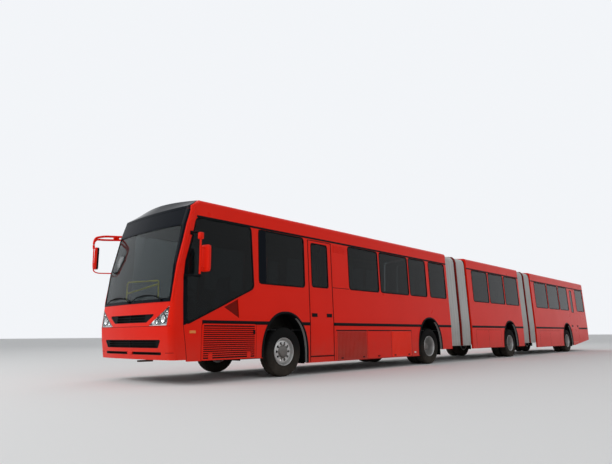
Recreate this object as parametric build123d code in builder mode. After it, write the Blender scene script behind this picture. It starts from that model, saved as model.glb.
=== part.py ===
"""Bi-articulated city bus: three cars joined by two bellows, on four axles.

X points forward, Y to the bus's left and Z up, in millimetres.
The origin is on the ground under the middle of the bus.
"""

import os
from math import cos, radians, sin
from build123d import *

os.makedirs("parts", exist_ok=True)

# Overall size
WIDTH = 2550
NOSE_X = 12530
REAR_X = -12530
CROWN_Z = 3430

# Where the cars begin and end, front to rear
CAR_1_REAR = 2350
CAR_2_FRONT = 900
CAR_2_REAR = -3650
CAR_3_FRONT = -5050
PIVOT_X = ((CAR_1_REAR + CAR_2_FRONT) / 2, (CAR_2_REAR + CAR_3_FRONT) / 2)

# Side walls
WALL = 60
WAIST_Z = 1100
EAVE_Z = 3230
TUMBLEHOME = 80
WINDOW_TOP = 3000
WINDOW_FOOT = 1930
WINDOW_CORNER = 35
SKIRT_FRONT_Z = 400
SKIRT_MIDDLE_Z = 250
SKIRT_TAIL_Z = 400
SKIRT_CAR_2_Z = 370
SKIRT_CAR_3_Z = 290
RAMP_START = 5100
RAMP_TOP_Z = 520

# Roof
ROOF_SKIN = 60
ROOF_CORNER_Z = 3290
ROOF_CORNER_RUN = 85
ROOF_CORNER_RISE = 82
DOME_LENGTH = 650

# Floor and chassis
FLOOR_TOP = 950
FLOOR_DEPTH = 60
RAIL_HALF_GAUGE = 430
RAIL_WIDTH = 80
RAIL_DEPTH = 200
CROSS_DEPTH = 120
CROSS_WIDTH = 90
HOUSING_SKIN = 30
ARCH_HALF = 660
ARCH_TOP = 1300
ARCH_RADIUS = 240

# Wheels
AXLE_X = (9650, 3650, -2350, -9200)
TYRE_RADIUS = 507
TYRE_WIDTH = 275
TYRE_SHOULDER = 45
TWIN_SPACING = 320
WHEEL_SIDES = 24
RIM_RADIUS = 286
RIM_SKIN = 14
RIM_WIDTH = 230
DISC_SKIN = 16
HUB_RADIUS = 140
HUB_SIDES = 16
DISH_CUT = 38
STUB_RADIUS = 60
TYRE_TO_SIDE = 40
STEER_HOUSING_Y = 555
TWIN_HOUSING_Y = 590

# Fits and gaps
FIT = 0.3
RUNNING_FIT = 0.1
DOOR_GAP = 8
LEAF_GAP = 30

# Doors
DOORWAY = 1100
DOOR_HEAD = 2950
LEAF_SKIN = 40
LEAF_INSET = 10
LEAF_FRAME = 90
LEAF_SHAFT = 14
LEAF_SHAFT_IN = 25
LEAF_SHAFT_CLEAR = 6
SHAFT_ARM = 40
SERVICE_SKIN = 45
KNUCKLE_HEIGHT = 120

HALF = WIDTH / 2
RAIL_TOP = FLOOR_TOP - FLOOR_DEPTH
RAIL_FOOT = RAIL_TOP - RAIL_DEPTH
WHEEL_Y = HALF - TYRE_TO_SIDE - TYRE_WIDTH / 2
CARS = {
    "front": (CAR_1_REAR, NOSE_X),
    "middle": (CAR_2_REAR, CAR_2_FRONT),
    "rear": (REAR_X, CAR_3_FRONT),
}
CAR_AXLES = {"front": AXLE_X[:2], "middle": AXLE_X[2:3], "rear": AXLE_X[3:]}

# Nose profile on the middle line: height, setback
NOSE_PROFILE = (
    (430, 70),
    (770, 20),
    (1010, 0),
    (WAIST_Z, 7),
    (1420, 30),
    (2100, 100),
    (2880, 270),
    (3230, 380),
)
BUMPER_TOP = 1010
NOSE_BULGE = 60
NOSE_CORNER = 120
NOSE_CHORDS = 3
CORNER_CHORDS = 4
NOSE_LENGTH = 1400
# Top of the front dome: height, setback, setback of the corners from the middle
DOME_TOP = (3460, 585, 215)
FRONT_SKIN = 60
# Seam between the moulded front and the side walls: height, setback from the nose
SEAM = ((0, 530), (980, 330), (1420, 280), (2100, 315), (2940, 490), (3300, 600))

# Windscreen and sign glass: foot height, top height, half width at foot, half width at top
SCREEN = (1490, 2850, 1170, 1120)
SIGN = (2890, 3190, 1110, 1085)
SCREEN_CORNER = 20
GLASS_INSET = 6
GLASS_SKIN = 8

# Left and right windows: start and end behind the datum, foot height
WINDOWS = {
    ("front", 1): (
        (-560, 620, 1880),
        (2230, 3500, WINDOW_FOOT),
        (3580, 4970, WINDOW_FOOT),
        (5040, 5980, WINDOW_FOOT),
        (6170, 7160, WINDOW_FOOT),
    ),
    ("front", -1): (
        (-2200, -480, 1600),
        (-320, 920, WINDOW_FOOT),
        (2480, 3880, WINDOW_FOOT),
        (5330, 6150, WINDOW_FOOT),
        (6230, 7160, WINDOW_FOOT),
    ),
    ("middle", 1): (
        (350, 1600, WINDOW_FOOT),
        (1700, 3000, WINDOW_FOOT),
        (3100, 4400, WINDOW_FOOT),
    ),
    ("middle", -1): ((180, 660, WINDOW_FOOT), (2120, 3220, WINDOW_FOOT), (3300, 4400, WINDOW_FOOT)),
    ("rear", 1): (
        (370, 1850, WINDOW_FOOT),
        (1950, 3400, WINDOW_FOOT),
        (3500, 4780, WINDOW_FOOT),
        (6050, 7280, WINDOW_FOOT),
    ),
    ("rear", -1): ((180, 830, WINDOW_FOOT), (2300, 3700, WINDOW_FOOT), (3780, 5280, WINDOW_FOOT)),
}
DATUM = {"front": AXLE_X[0], "middle": CAR_2_FRONT, "rear": CAR_3_FRONT}
# Driver's window outline: distance behind the first axle, height
DRIVER_WINDOW = (
    (-2500, 1040),
    (-1680, 1410),
    (-1300, 1590),
    (-900, 1770),
    (-960, 3010),
    (-2290, 3010),
    (-2490, 2130),
)

# Passenger doorways on the right side: car, middle of the doorway behind the datum
DOORWAYS = (
    ("front", 1700),
    ("front", 4600),
    ("middle", 1390),
    ("rear", 1570),
    ("rear", 6380),
)
# Service doors on the left side: car, front edge, rear edge, foot, head, window edges and foot
SERVICE_DOORS = (
    ("front", 770, 1560, 390, 2980, 90, 130, 1920),
    ("rear", 4840, 5930, 430, 2980, 330, 420, 1860),
)


def half_width(z, inset=0):
    """Half width of the body at a height: upright to the waist, then leaning in."""
    lean = TUMBLEHOME * max(0, z - WAIST_Z) / (EAVE_Z - WAIST_Z)
    return HALF - lean - inset


def wall_strip(outer, inner, foot, head, side):
    """Section of a side wall between two insets from the outer skin."""
    with BuildSketch(Plane.YZ) as strip:
        with BuildLine():
            Polyline(
                (side * half_width(foot, outer), foot),
                (side * half_width(WAIST_Z, outer), WAIST_Z),
                (side * half_width(head, outer), head),
                (side * half_width(head, inner), head),
                (side * half_width(WAIST_Z, inner), WAIST_Z),
                (side * half_width(foot, inner), foot),
                close=True,
            )
        make_face()
    return strip.sketch


def run_along(sketch, x_low, x_high, mode=Mode.ADD):
    """Carry a cross-section along the bus between two stations."""
    extrude(sketch.moved(Location((x_low, 0, 0))), amount=x_high - x_low, mode=mode)


def through_side(sketch, side, mode=Mode.SUBTRACT, reach=HALF):
    """Carry a side-view outline from the middle plane out through one side."""
    extrude(sketch, amount=-side * (reach + WALL), mode=mode)


def side_outline(points):
    """Closed side-view outline from points of x and z."""
    with BuildSketch(Plane.XZ) as outline:
        with BuildLine():
            Polyline(*points, close=True)
        make_face()
    return outline.sketch


def pane(x_low, x_high, foot, head, shrink=0):
    """Side-view outline of a window with its corners cut off."""
    with BuildSketch(Plane.XZ) as outline:
        with Locations(((x_low + x_high) / 2, (foot + head) / 2)):
            Rectangle(x_high - x_low - 2 * shrink, head - foot - 2 * shrink)
        chamfer(outline.vertices(), WINDOW_CORNER)
    return outline.sketch


def wall_patch(outline, outer, inner, side):
    """Piece of a side wall between two insets, cut to a side-view outline."""
    box = outline.bounding_box()
    foot = min(box.min.Z, WAIST_Z) - WALL
    head = max(box.max.Z, WAIST_Z) + WALL
    with BuildPart(mode=Mode.PRIVATE) as patch:
        run_along(wall_strip(outer, inner, foot, head, side), box.min.X - WALL, box.max.X + WALL)
        through_side(outline, side, Mode.INTERSECT)
    return patch.part


def arch(axle, spread=0):
    """Side-view outline of a wheel arch, open below the skirt."""
    half = ARCH_HALF + spread
    top = ARCH_TOP + spread
    with BuildSketch(Plane.XZ) as outline:
        with BuildLine():
            FilletPolyline(
                (axle - half, 0),
                (axle - half, top),
                (axle + half, top),
                (axle + half, 0),
                radius=ARCH_RADIUS + spread,
            )
            Line((axle + half, 0), (axle - half, 0))
        make_face()
    return outline.sketch


def window_outlines(car, side, shrink=0):
    """The window outlines of one side of a car."""
    outlines = []
    for start, end, foot in WINDOWS[car, side]:
        outlines.append(pane(DATUM[car] - end, DATUM[car] - start, foot, WINDOW_TOP, shrink))
    return outlines


def driver_outline(shrink=0):
    """The driver's window with its stepped lower edge."""
    points = [(AXLE_X[0] - back, z) for back, z in DRIVER_WINDOW]
    with BuildSketch(Plane.XZ) as outline:
        with BuildLine():
            Polyline(*points, close=True)
        make_face()
        chamfer(outline.vertices(), WINDOW_CORNER)
        if shrink:
            offset(amount=-shrink)
    return outline.sketch


def doorway(middle, widen=0, foot=FLOOR_TOP, head=DOOR_HEAD):
    """Square-cornered side-view outline of a passenger doorway."""
    half = DOORWAY / 2 + widen
    return side_outline(
        ((middle - half, foot), (middle + half, foot), (middle + half, head), (middle - half, head))
    )


def seam_outline(forward):
    """Side-view region ahead of the front seam, or behind it."""
    edge = [(NOSE_X - setback, z) for z, setback in SEAM]
    beyond = NOSE_X + WALL if forward else CAR_1_REAR
    return side_outline((*edge, (beyond, SEAM[-1][0]), (beyond, SEAM[0][0])))


def nose_edge(nose, bulge, edge):
    """Half the nose's plan outline in chords: a shallow arc, then a rounded corner."""
    corner = nose - bulge
    arc_end = edge - NOSE_CORNER
    radius = (arc_end**2 + bulge**2) / (2 * bulge)
    points = []
    for step in range(NOSE_CHORDS):
        y = arc_end * step / NOSE_CHORDS
        points.append((nose - radius + (radius**2 - y**2) ** 0.5, y))
    for step in range(CORNER_CHORDS + 1):
        turn = radians(90 * step / CORNER_CHORDS)
        points.append((corner - NOSE_CORNER * (1 - cos(turn)), arc_end + NOSE_CORNER * sin(turn)))
    points.append((NOSE_X - NOSE_LENGTH, edge))
    return points


def nose_plan(z, setback, bulge):
    """Plan outline of the whole nose at one height."""
    left = nose_edge(NOSE_X - setback, bulge, half_width(z))
    right = [(x, -y) for x, y in left[1:]]
    with BuildSketch(Plane.XY.offset(z)) as plan:
        with BuildLine():
            Polyline(*left[::-1], *right, close=True)
        make_face()
    return plan.sketch


def nose_half(side, inset):
    """Plan outline of one half of the nose, where it stands furthest forward and out."""
    half = [(x, side * y) for x, y in nose_edge(NOSE_X - inset, NOSE_BULGE, HALF - inset)]
    with BuildSketch(Plane.XY) as plan:
        with BuildLine():
            Polyline(*half, (NOSE_X - NOSE_LENGTH, 0), close=True)
        make_face()
    return plan.sketch


def nose_body(profile, inset):
    """Solid nose over a run of heights: each half's outline is carried up along a slant."""
    with BuildPart(mode=Mode.PRIVATE) as body:
        for side in (1, -1):
            outline = nose_half(side, inset)
            for (low, back_low), (high, back_high) in zip(profile, profile[1:]):
                lean = half_width(low) - half_width(high)
                slant = Vector(back_low - back_high, -side * lean, high - low)
                place = Location((-back_low, -side * (HALF - half_width(low)), low))
                extrude(outline.moved(place), amount=slant.length, dir=slant)
    return body.part


def nose_skin(profile, inset, depth):
    """Shell of the nose, open at its back, foot and head, from an inset to a depth below it."""
    with BuildPart(mode=Mode.PRIVATE) as skin:
        add(nose_body(profile, inset))
        add(nose_body(profile, inset + depth), mode=Mode.SUBTRACT)
    return skin.part


def front_view(foot, head, half_foot, half_head, shrink=0):
    """Front-view trapezium, set ahead of the nose."""
    with BuildSketch(Plane.YZ.offset(NOSE_X + WALL)) as outline:
        with BuildLine():
            Polyline(
                (-half_foot + shrink, foot + shrink),
                (half_foot - shrink, foot + shrink),
                (half_head - shrink, head - shrink),
                (-half_head + shrink, head - shrink),
                close=True,
            )
        make_face()
        fillet(outline.vertices(), SCREEN_CORNER)
    return outline.sketch


# Louvred panels ahead of the first axle: start and end behind it, foot, head
LOUVRE_PANEL = (-2130, -870, 420, 1045)
LOUVRE_SKIN = 30
LOUVRE_FRAME = 30
SLATS = 15
SLOT = 14
# Sculpted pocket under the driver's window: distance behind the first axle, height
POCKET = ((-1650, 1370), (-1310, 1535), (-1280, 1170))
POCKET_DEPTH = 14


def louvre_outline(shrink=0):
    """Side-view outline of a louvred panel."""
    start, end, foot, head = LOUVRE_PANEL
    x_low, x_high = AXLE_X[0] - end + shrink, AXLE_X[0] - start - shrink
    foot, head = foot + shrink, head - shrink
    return side_outline(((x_low, foot), (x_high, foot), (x_high, head), (x_low, head)))


# Side walls of each car, with windows, doorways and wheel arches cut
SKIRTS = {
    "front": (
        (NOSE_X, SKIRT_FRONT_Z),
        (AXLE_X[0], SKIRT_FRONT_Z),
        (AXLE_X[0], SKIRT_MIDDLE_Z),
        (AXLE_X[1], SKIRT_MIDDLE_Z),
        (AXLE_X[1], SKIRT_TAIL_Z),
        (CAR_1_REAR, SKIRT_TAIL_Z),
    ),
    "middle": ((CAR_2_FRONT, SKIRT_CAR_2_Z), (CAR_2_REAR, SKIRT_CAR_2_Z)),
    "rear": (
        (CAR_3_FRONT, SKIRT_CAR_3_Z),
        (CAR_3_FRONT - RAMP_START, SKIRT_CAR_3_Z),
        (REAR_X, RAMP_TOP_Z),
    ),
}
for car, (x_low, x_high) in CARS.items():
    skirt = SKIRTS[car]
    lowest = min(z for x, z in skirt)
    below = side_outline((*skirt, (x_low, 0), (x_high, 0)))
    with BuildPart() as sides:
        for side in (1, -1):
            run_along(wall_strip(0, WALL, lowest, EAVE_Z, side), x_low, x_high)
            through_side(below, side)
            for outline in window_outlines(car, side):
                through_side(outline, side)
            for axle in CAR_AXLES[car]:
                through_side(arch(axle), side)
        for door_car, middle in DOORWAYS:
            if door_car == car:
                through_side(doorway(DATUM[car] - middle), -1)
        for door_car, front, rear, foot, head, *window in SERVICE_DOORS:
            if door_car == car:
                x_f, x_r = DATUM[car] - front, DATUM[car] - rear
                through_side(side_outline(((x_r, foot), (x_f, foot), (x_f, head), (x_r, head))), 1)
        if car == "front":
            through_side(driver_outline(), 1)
            pocket = side_outline([(AXLE_X[0] - back, z) for back, z in POCKET])
            add(wall_patch(pocket, -POCKET_DEPTH, POCKET_DEPTH, 1), mode=Mode.SUBTRACT)
            for side in (1, -1):
                through_side(louvre_outline(), side)
                through_side(seam_outline(True), side)
    sides.part.label = f"{car}_sides"
    export_step(sides.part, f"parts/{car}_sides.step")

# Rear window outline: foot height, top height, half width at foot, half width at top
REAR_GLASS = (1900, 2850, 950, 900)
# Side glass, flush-set panes that fill the windows
for car, (x_low, x_high) in CARS.items():
    with BuildPart() as glass:
        for side in (1, -1):
            outlines = window_outlines(car, side, FIT)
            if car == "front" and side == 1:
                outlines.append(driver_outline(FIT))
            for outline in outlines:
                add(wall_patch(outline, GLASS_INSET, GLASS_INSET + GLASS_SKIN, side))
        if car == "rear":
            to_rear = REAR_X - NOSE_X - WALL + GLASS_INSET
            extrude(front_view(*REAR_GLASS, FIT).moved(Location((to_rear, 0, 0))), amount=GLASS_SKIN)
    glass.part.label = f"{car}_glass"
    export_step(glass.part, f"parts/{car}_glass.step")


def roof_section(skin):
    """Cross-section of the roof inside the outer skin by a thickness."""
    side = half_width(EAVE_Z, skin)
    crown = CROWN_Z - skin
    shoulder_y = side - ROOF_CORNER_RUN
    shoulder_z = ROOF_CORNER_Z + ROOF_CORNER_RISE - skin
    corner_z = ROOF_CORNER_Z - skin / 2
    bulge_y = side - ROOF_CORNER_RUN * 0.3
    bulge_z = corner_z + (shoulder_z - corner_z) * 0.7
    with BuildSketch(Plane.YZ) as section:
        with BuildLine():
            Line((side, EAVE_Z), (side, corner_z))
            ThreePointArc((side, corner_z), (bulge_y, bulge_z), (shoulder_y, shoulder_z))
            ThreePointArc((shoulder_y, shoulder_z), (0, crown), (-shoulder_y, shoulder_z))
            ThreePointArc((-shoulder_y, shoulder_z), (-bulge_y, bulge_z), (-side, corner_z))
            Line((-side, corner_z), (-side, EAVE_Z))
            Line((-side, EAVE_Z), (side, EAVE_Z))
        make_face()
    return section.sketch


# Roofs, open below, the first one closed by the front dome
for car, (x_low, x_high) in CARS.items():
    with BuildPart() as roof:
        if car == "front":
            run_along(roof_section(0), NOSE_X - NOSE_LENGTH, x_high)
            dome_foot = nose_plan(*NOSE_PROFILE[-1], NOSE_BULGE)
            loft((dome_foot, nose_plan(*DOME_TOP)), ruled=True, mode=Mode.INTERSECT)
            run_along(roof_section(0), x_low, NOSE_X - NOSE_LENGTH)
            hollow_front = NOSE_X - DOME_TOP[1] - DOME_LENGTH
        else:
            run_along(roof_section(0), x_low, x_high)
            hollow_front = x_high
        hollow_rear = x_low + WALL if car == "rear" else x_low
        run_along(roof_section(ROOF_SKIN), hollow_rear, hollow_front, Mode.SUBTRACT)
    roof.part.label = f"{car}_roof"
    export_step(roof.part, f"parts/{car}_roof.step")

# Moulded front above the bumper, with the screen, sign, lamp and grille openings
LAMP = ((1190, 1364), (1165, 1022), (650, 1022), (690, 1048))
UPPER_GRILLE = (1080, 1228, 570, 820)
LOWER_GRILLE = (634, 777, 900, 990)
SLOT_GRILLE = (515, 565, 965, 990)


def lamp_outline(side, shrink=0):
    """Front-view outline of a triangular headlamp."""
    with BuildSketch(Plane.YZ.offset(NOSE_X + WALL)) as outline:
        with BuildLine():
            Polyline(*[(side * y, z) for y, z in LAMP], close=True)
        make_face()
        if shrink:
            offset(amount=-shrink)
    return outline.sketch


SCREEN_DEPTH = 1000
MASK_PROFILE = [s for s in NOSE_PROFILE if s[0] >= BUMPER_TOP]
BUMPER_PROFILE = [s for s in NOSE_PROFILE if s[0] <= BUMPER_TOP]
with BuildPart() as front_mask:
    add(nose_skin(MASK_PROFILE, 0, FRONT_SKIN))
    for side in (1, -1):
        through_side(seam_outline(False), side)
        extrude(lamp_outline(side), amount=-SCREEN_DEPTH, mode=Mode.SUBTRACT)
    for opening in (SCREEN, SIGN, UPPER_GRILLE):
        extrude(front_view(*opening), amount=-SCREEN_DEPTH, mode=Mode.SUBTRACT)
front_mask.part.label = "front_mask"
export_step(front_mask.part, "parts/front_mask.step")

with BuildPart() as front_bumper:
    add(nose_skin(BUMPER_PROFILE, 0, FRONT_SKIN))
    for side in (1, -1):
        through_side(seam_outline(False), side)
    for opening in (LOWER_GRILLE, SLOT_GRILLE):
        extrude(front_view(*opening), amount=-SCREEN_DEPTH, mode=Mode.SUBTRACT)
front_bumper.part.label = "front_bumper"
export_step(front_bumper.part, "parts/front_bumper.step")


def nose_piece(skin, outline):
    """Piece of a shell of the nose, cut to a front-view outline."""
    with BuildPart(mode=Mode.PRIVATE) as piece:
        add(skin)
        extrude(outline, amount=-SCREEN_DEPTH, mode=Mode.INTERSECT)
    return piece.part


with BuildPart() as windscreen:
    glass_skin = nose_skin(MASK_PROFILE, GLASS_INSET, GLASS_SKIN)
    for opening in (SCREEN, SIGN):
        add(nose_piece(glass_skin, front_view(*opening, FIT)))
windscreen.part.label = "windscreen"
export_step(windscreen.part, "parts/windscreen.step")

LAMP_DEPTH = 50
with BuildPart() as headlamps:
    lamp_skin = nose_skin(MASK_PROFILE, GLASS_INSET, LAMP_DEPTH)
    for side in (1, -1):
        add(nose_piece(lamp_skin, lamp_outline(side, FIT)))
headlamps.part.label = "headlamps"
export_step(headlamps.part, "parts/headlamps.step")

# Grilles: bars across each front opening, tied by an upright, and the louvred side panels
GRILLE_INSET = 12
GRILLE_DEPTH = 30
BAR = 14
BAR_PITCH = 34
UPRIGHT = 20
with BuildPart() as grilles:
    for profile, opening in (
        (MASK_PROFILE, UPPER_GRILLE),
        (BUMPER_PROFILE, LOWER_GRILLE),
        (BUMPER_PROFILE, SLOT_GRILLE),
    ):
        foot, head, half_foot, half_head = opening
        with BuildPart(mode=Mode.PRIVATE) as grille:
            add(nose_piece(nose_skin(profile, GRILLE_INSET, GRILLE_DEPTH), front_view(*opening, FIT)))
            gaps = int((head - foot - BAR) // BAR_PITCH)
            pitch = (head - foot - BAR) / gaps
            narrow = min(half_foot, half_head) - 3 * UPRIGHT
            for gap in range(gaps):
                middle_z = foot + BAR / 2 + (gap + 0.5) * pitch
                for y in (-narrow / 2, narrow / 2):
                    with Locations((NOSE_X, y, middle_z)):
                        Box(SCREEN_DEPTH, narrow - UPRIGHT, pitch - BAR, mode=Mode.SUBTRACT)
        add(grille.part)
    start, end, foot, head = LOUVRE_PANEL
    slot_rise = (head - foot - 2 * LOUVRE_FRAME) / SLATS
    slot_x = AXLE_X[0] - (start + end) / 2
    slot_length = end - start - 2 * LOUVRE_FRAME
    for side in (1, -1):
        with BuildPart(mode=Mode.PRIVATE) as panel:
            add(wall_patch(louvre_outline(FIT), 0, LOUVRE_SKIN, side))
            for slot in range(1, SLATS):
                with Locations((slot_x, side * HALF, foot + LOUVRE_FRAME + slot * slot_rise)):
                    Box(slot_length, 3 * LOUVRE_SKIN, SLOT, mode=Mode.SUBTRACT)
        add(panel.part)
grilles.part.label = "grilles"
export_step(grilles.part, "parts/grilles.step")

# Rear wall with its window and engine-free lower panel
REAR_SKIN = 60
with BuildPart() as rear_wall:
    with BuildSketch(Plane.YZ.offset(REAR_X)):
        with BuildLine():
            Polyline(
                (-half_width(RAMP_TOP_Z, WALL + FIT), RAMP_TOP_Z),
                (half_width(RAMP_TOP_Z, WALL + FIT), RAMP_TOP_Z),
                (half_width(WAIST_Z, WALL + FIT), WAIST_Z),
                (half_width(EAVE_Z, WALL + FIT), EAVE_Z),
                (-half_width(EAVE_Z, WALL + FIT), EAVE_Z),
                (-half_width(WAIST_Z, WALL + FIT), WAIST_Z),
                close=True,
            )
        make_face()
    extrude(amount=REAR_SKIN)
    extrude(front_view(*REAR_GLASS), amount=REAR_X - NOSE_X - 2 * WALL, mode=Mode.SUBTRACT)
rear_wall.part.label = "rear_wall"
export_step(rear_wall.part, "parts/rear_wall.step")

# Floors with wheel housings, chassis rails and the couplings between the cars
RING_RADIUS = 680
RING_DEPTH = 80
FORK_DEPTH = 80
FORK_CLEAR = 6
PIN_RADIUS = 60
RING_FOOT = FLOOR_TOP - RING_DEPTH
FORK_TOP = RING_FOOT - FORK_CLEAR
FORK_FOOT = FORK_TOP - FORK_DEPTH
PIN_TOP = FLOOR_TOP - 10
TONGUE_WIDTH = 700
FLOOR_NOSE = 420
TOW_RADIUS = 25
TOW_SKIN = 30
TOW_HALF = 60
TOW_REACH = 185
# Tow eyes: car, which way the eye points, its leg's distance in from the floor's end, height
TOW_EYES = (("front", 1, 45, 385), ("rear", -1, 255, 490))
PAD_DEPTH = 20
PAD_LENGTH = 120
# Jacking pads under both rails: car, distance ahead of the first axle
JACK_PADS = (("front", -700), ("front", -5300), ("middle", -11300), ("rear", -18150))
# Cross beams: distance behind each car's front end
CROSS_BEAMS = {
    "front": (900, 2000, 3700, 4900, 6800, 8000, 9700),
    "middle": (600, 2200, 4100),
    "rear": (600, 2400, 5400, 7000),
}


def tow_eye(leg_x, away, level):
    """Leg under the rails' cross beam with a level plate and a pin hole at its end."""
    eye_x = leg_x + away * TOW_REACH
    with Locations((leg_x, 0, RAIL_TOP - RAIL_DEPTH / 2)):
        Box(CROSS_WIDTH, 2 * RAIL_HALF_GAUGE + RAIL_WIDTH, RAIL_DEPTH)
    with Locations((leg_x, 0, (RAIL_FOOT + level - TOW_SKIN / 2) / 2)):
        Box(CROSS_WIDTH, 2 * TOW_HALF, RAIL_FOOT - level + TOW_SKIN / 2)
    with Locations(((leg_x + eye_x) / 2, 0, level)):
        Box(TOW_REACH, 2 * TOW_HALF, TOW_SKIN)
    with Locations((eye_x, 0, level)):
        Cylinder(TOW_HALF, TOW_SKIN)
        Cylinder(TOW_RADIUS, TOW_SKIN, mode=Mode.SUBTRACT)


def housing_y(axle):
    """Inner face of the wheel housing beside an axle."""
    return STEER_HOUSING_Y if axle == AXLE_X[0] else TWIN_HOUSING_Y


HOUSING_REACH = half_width(ARCH_TOP + HOUSING_SKIN, WALL + FIT)
for car, (x_low, x_high) in CARS.items():
    floor_front = x_high - FLOOR_NOSE if car == "front" else x_high
    floor_rear = x_low + REAR_SKIN + FIT if car == "rear" else x_low
    slab_half = HALF - WALL - FIT
    with BuildPart() as floor:
        middle_x = (floor_front + floor_rear) / 2
        with Locations((middle_x, 0, FLOOR_TOP - FLOOR_DEPTH / 2)):
            Box(floor_front - floor_rear, 2 * slab_half, FLOOR_DEPTH)
        with Locations(
            (middle_x, RAIL_HALF_GAUGE, RAIL_TOP - RAIL_DEPTH / 2),
            (middle_x, -RAIL_HALF_GAUGE, RAIL_TOP - RAIL_DEPTH / 2),
        ):
            Box(floor_front - floor_rear, RAIL_WIDTH, RAIL_DEPTH)
        for behind in CROSS_BEAMS[car]:
            with Locations((x_high - behind, 0, RAIL_TOP - CROSS_DEPTH / 2)):
                Box(CROSS_WIDTH, 2 * slab_half, CROSS_DEPTH)
        for axle in CAR_AXLES[car]:
            for side in (1, -1):
                depth = HOUSING_REACH - housing_y(axle)
                skin_plane = side * (housing_y(axle) - HOUSING_SKIN)
                with BuildSketch(Plane.XZ.offset(-skin_plane)):
                    add(arch(axle, HOUSING_SKIN))
                    with Locations((axle, RAIL_FOOT / 2)):
                        Rectangle(3 * ARCH_HALF, RAIL_FOOT, mode=Mode.SUBTRACT)
                extrude(amount=-side * (depth + HOUSING_SKIN))
                with BuildSketch(Plane.XZ.offset(-side * housing_y(axle))):
                    add(arch(axle))
                extrude(amount=-side * (depth + WALL), mode=Mode.SUBTRACT)
        beams = 2 * RAIL_HALF_GAUGE + RAIL_WIDTH
        if car in ("front", "middle"):
            pivot = PIVOT_X[0] if car == "front" else PIVOT_X[1]
            with Locations((x_low + CROSS_WIDTH / 2, 0, RAIL_TOP - RAIL_DEPTH / 2)):
                Box(CROSS_WIDTH, beams, RAIL_DEPTH)
            with Locations((pivot, 0, FLOOR_TOP - RING_DEPTH / 2)):
                Cylinder(RING_RADIUS, RING_DEPTH)
            with Locations(((pivot + x_low + CROSS_WIDTH) / 2, 0, FLOOR_TOP - RING_DEPTH / 2)):
                Box(x_low + CROSS_WIDTH - pivot, TONGUE_WIDTH, RING_DEPTH)
            with Locations((pivot, 0, FLOOR_TOP - RING_DEPTH / 2)):
                Cylinder(PIN_RADIUS + RUNNING_FIT, RING_DEPTH, mode=Mode.SUBTRACT)
        if car in ("middle", "rear"):
            pivot = PIVOT_X[0] if car == "middle" else PIVOT_X[1]
            with Locations((x_high - CROSS_WIDTH / 2, 0, RAIL_TOP - RAIL_DEPTH / 2)):
                Box(CROSS_WIDTH, beams, RAIL_DEPTH)
            with Locations(((pivot + x_high - CROSS_WIDTH) / 2, 0, (FORK_TOP + FORK_FOOT) / 2)):
                Box(pivot - x_high + CROSS_WIDTH, TONGUE_WIDTH / 2, FORK_TOP - FORK_FOOT)
            with Locations((pivot, 0, (FORK_TOP + FORK_FOOT) / 2)):
                Cylinder(TONGUE_WIDTH / 4, FORK_TOP - FORK_FOOT)
            with Locations((pivot, 0, (PIN_TOP + FORK_FOOT) / 2)):
                Cylinder(PIN_RADIUS, PIN_TOP - FORK_FOOT)
        for pad_car, ahead in JACK_PADS:
            if pad_car == car:
                pad_x = AXLE_X[0] + ahead
                with Locations(
                    (pad_x, RAIL_HALF_GAUGE, RAIL_FOOT - PAD_DEPTH / 2),
                    (pad_x, -RAIL_HALF_GAUGE, RAIL_FOOT - PAD_DEPTH / 2),
                ):
                    Box(PAD_LENGTH, RAIL_WIDTH, PAD_DEPTH)
        for eye_car, away, leg_in, level in TOW_EYES:
            if eye_car == car:
                end = floor_front if away > 0 else floor_rear
                tow_eye(end - away * leg_in, away, level)
    floor.part.label = f"{car}_floor"
    export_step(floor.part, f"parts/{car}_floor.step")

# Bellows: pleated hoops drawn as plain hollow sleeves, open at the foot
BELLOWS_INSET = 30
BELLOWS_DEPTH = 120
BELLOWS_FOOT = 480
HOOP_WIDTH = 90
HOOP_PROUD = 20


def sleeve_section(inset, foot):
    """Body outline at an inset from the skin, cut off at a foot height."""
    top_y = half_width(EAVE_Z, inset)
    shoulder = top_y - ROOF_CORNER_RUN
    shoulder_z = ROOF_CORNER_Z + ROOF_CORNER_RISE - inset
    with BuildSketch(Plane.YZ) as section:
        with BuildLine():
            ThreePointArc((shoulder, shoulder_z), (0, CROWN_Z - inset), (-shoulder, shoulder_z))
            Polyline(
                (-shoulder, shoulder_z),
                (-top_y, EAVE_Z),
                (-half_width(WAIST_Z, inset), WAIST_Z),
                (-half_width(foot, inset), foot),
                (half_width(foot, inset), foot),
                (half_width(WAIST_Z, inset), WAIST_Z),
                (top_y, EAVE_Z),
                (shoulder, shoulder_z),
            )
        make_face()
    return section.sketch


BELLOWS = (
    ("bellows_1", CAR_2_FRONT, CAR_1_REAR, PIVOT_X[0]),
    ("bellows_2", CAR_3_FRONT, CAR_2_REAR, PIVOT_X[1]),
)
for name, x_low, x_high, pivot in BELLOWS:
    with BuildPart() as bellows:
        run_along(sleeve_section(BELLOWS_INSET, BELLOWS_FOOT), x_low + FIT, x_high - FIT)
        hoop = sleeve_section(BELLOWS_INSET - HOOP_PROUD, BELLOWS_FOOT)
        run_along(hoop, pivot - HOOP_WIDTH / 2, pivot + HOOP_WIDTH / 2)
        hollow = sleeve_section(BELLOWS_INSET + BELLOWS_DEPTH, BELLOWS_FOOT)
        run_along(hollow, x_low, x_high, Mode.SUBTRACT)
    bellows.part.label = name
    export_step(bellows.part, f"parts/{name}.step")

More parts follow.
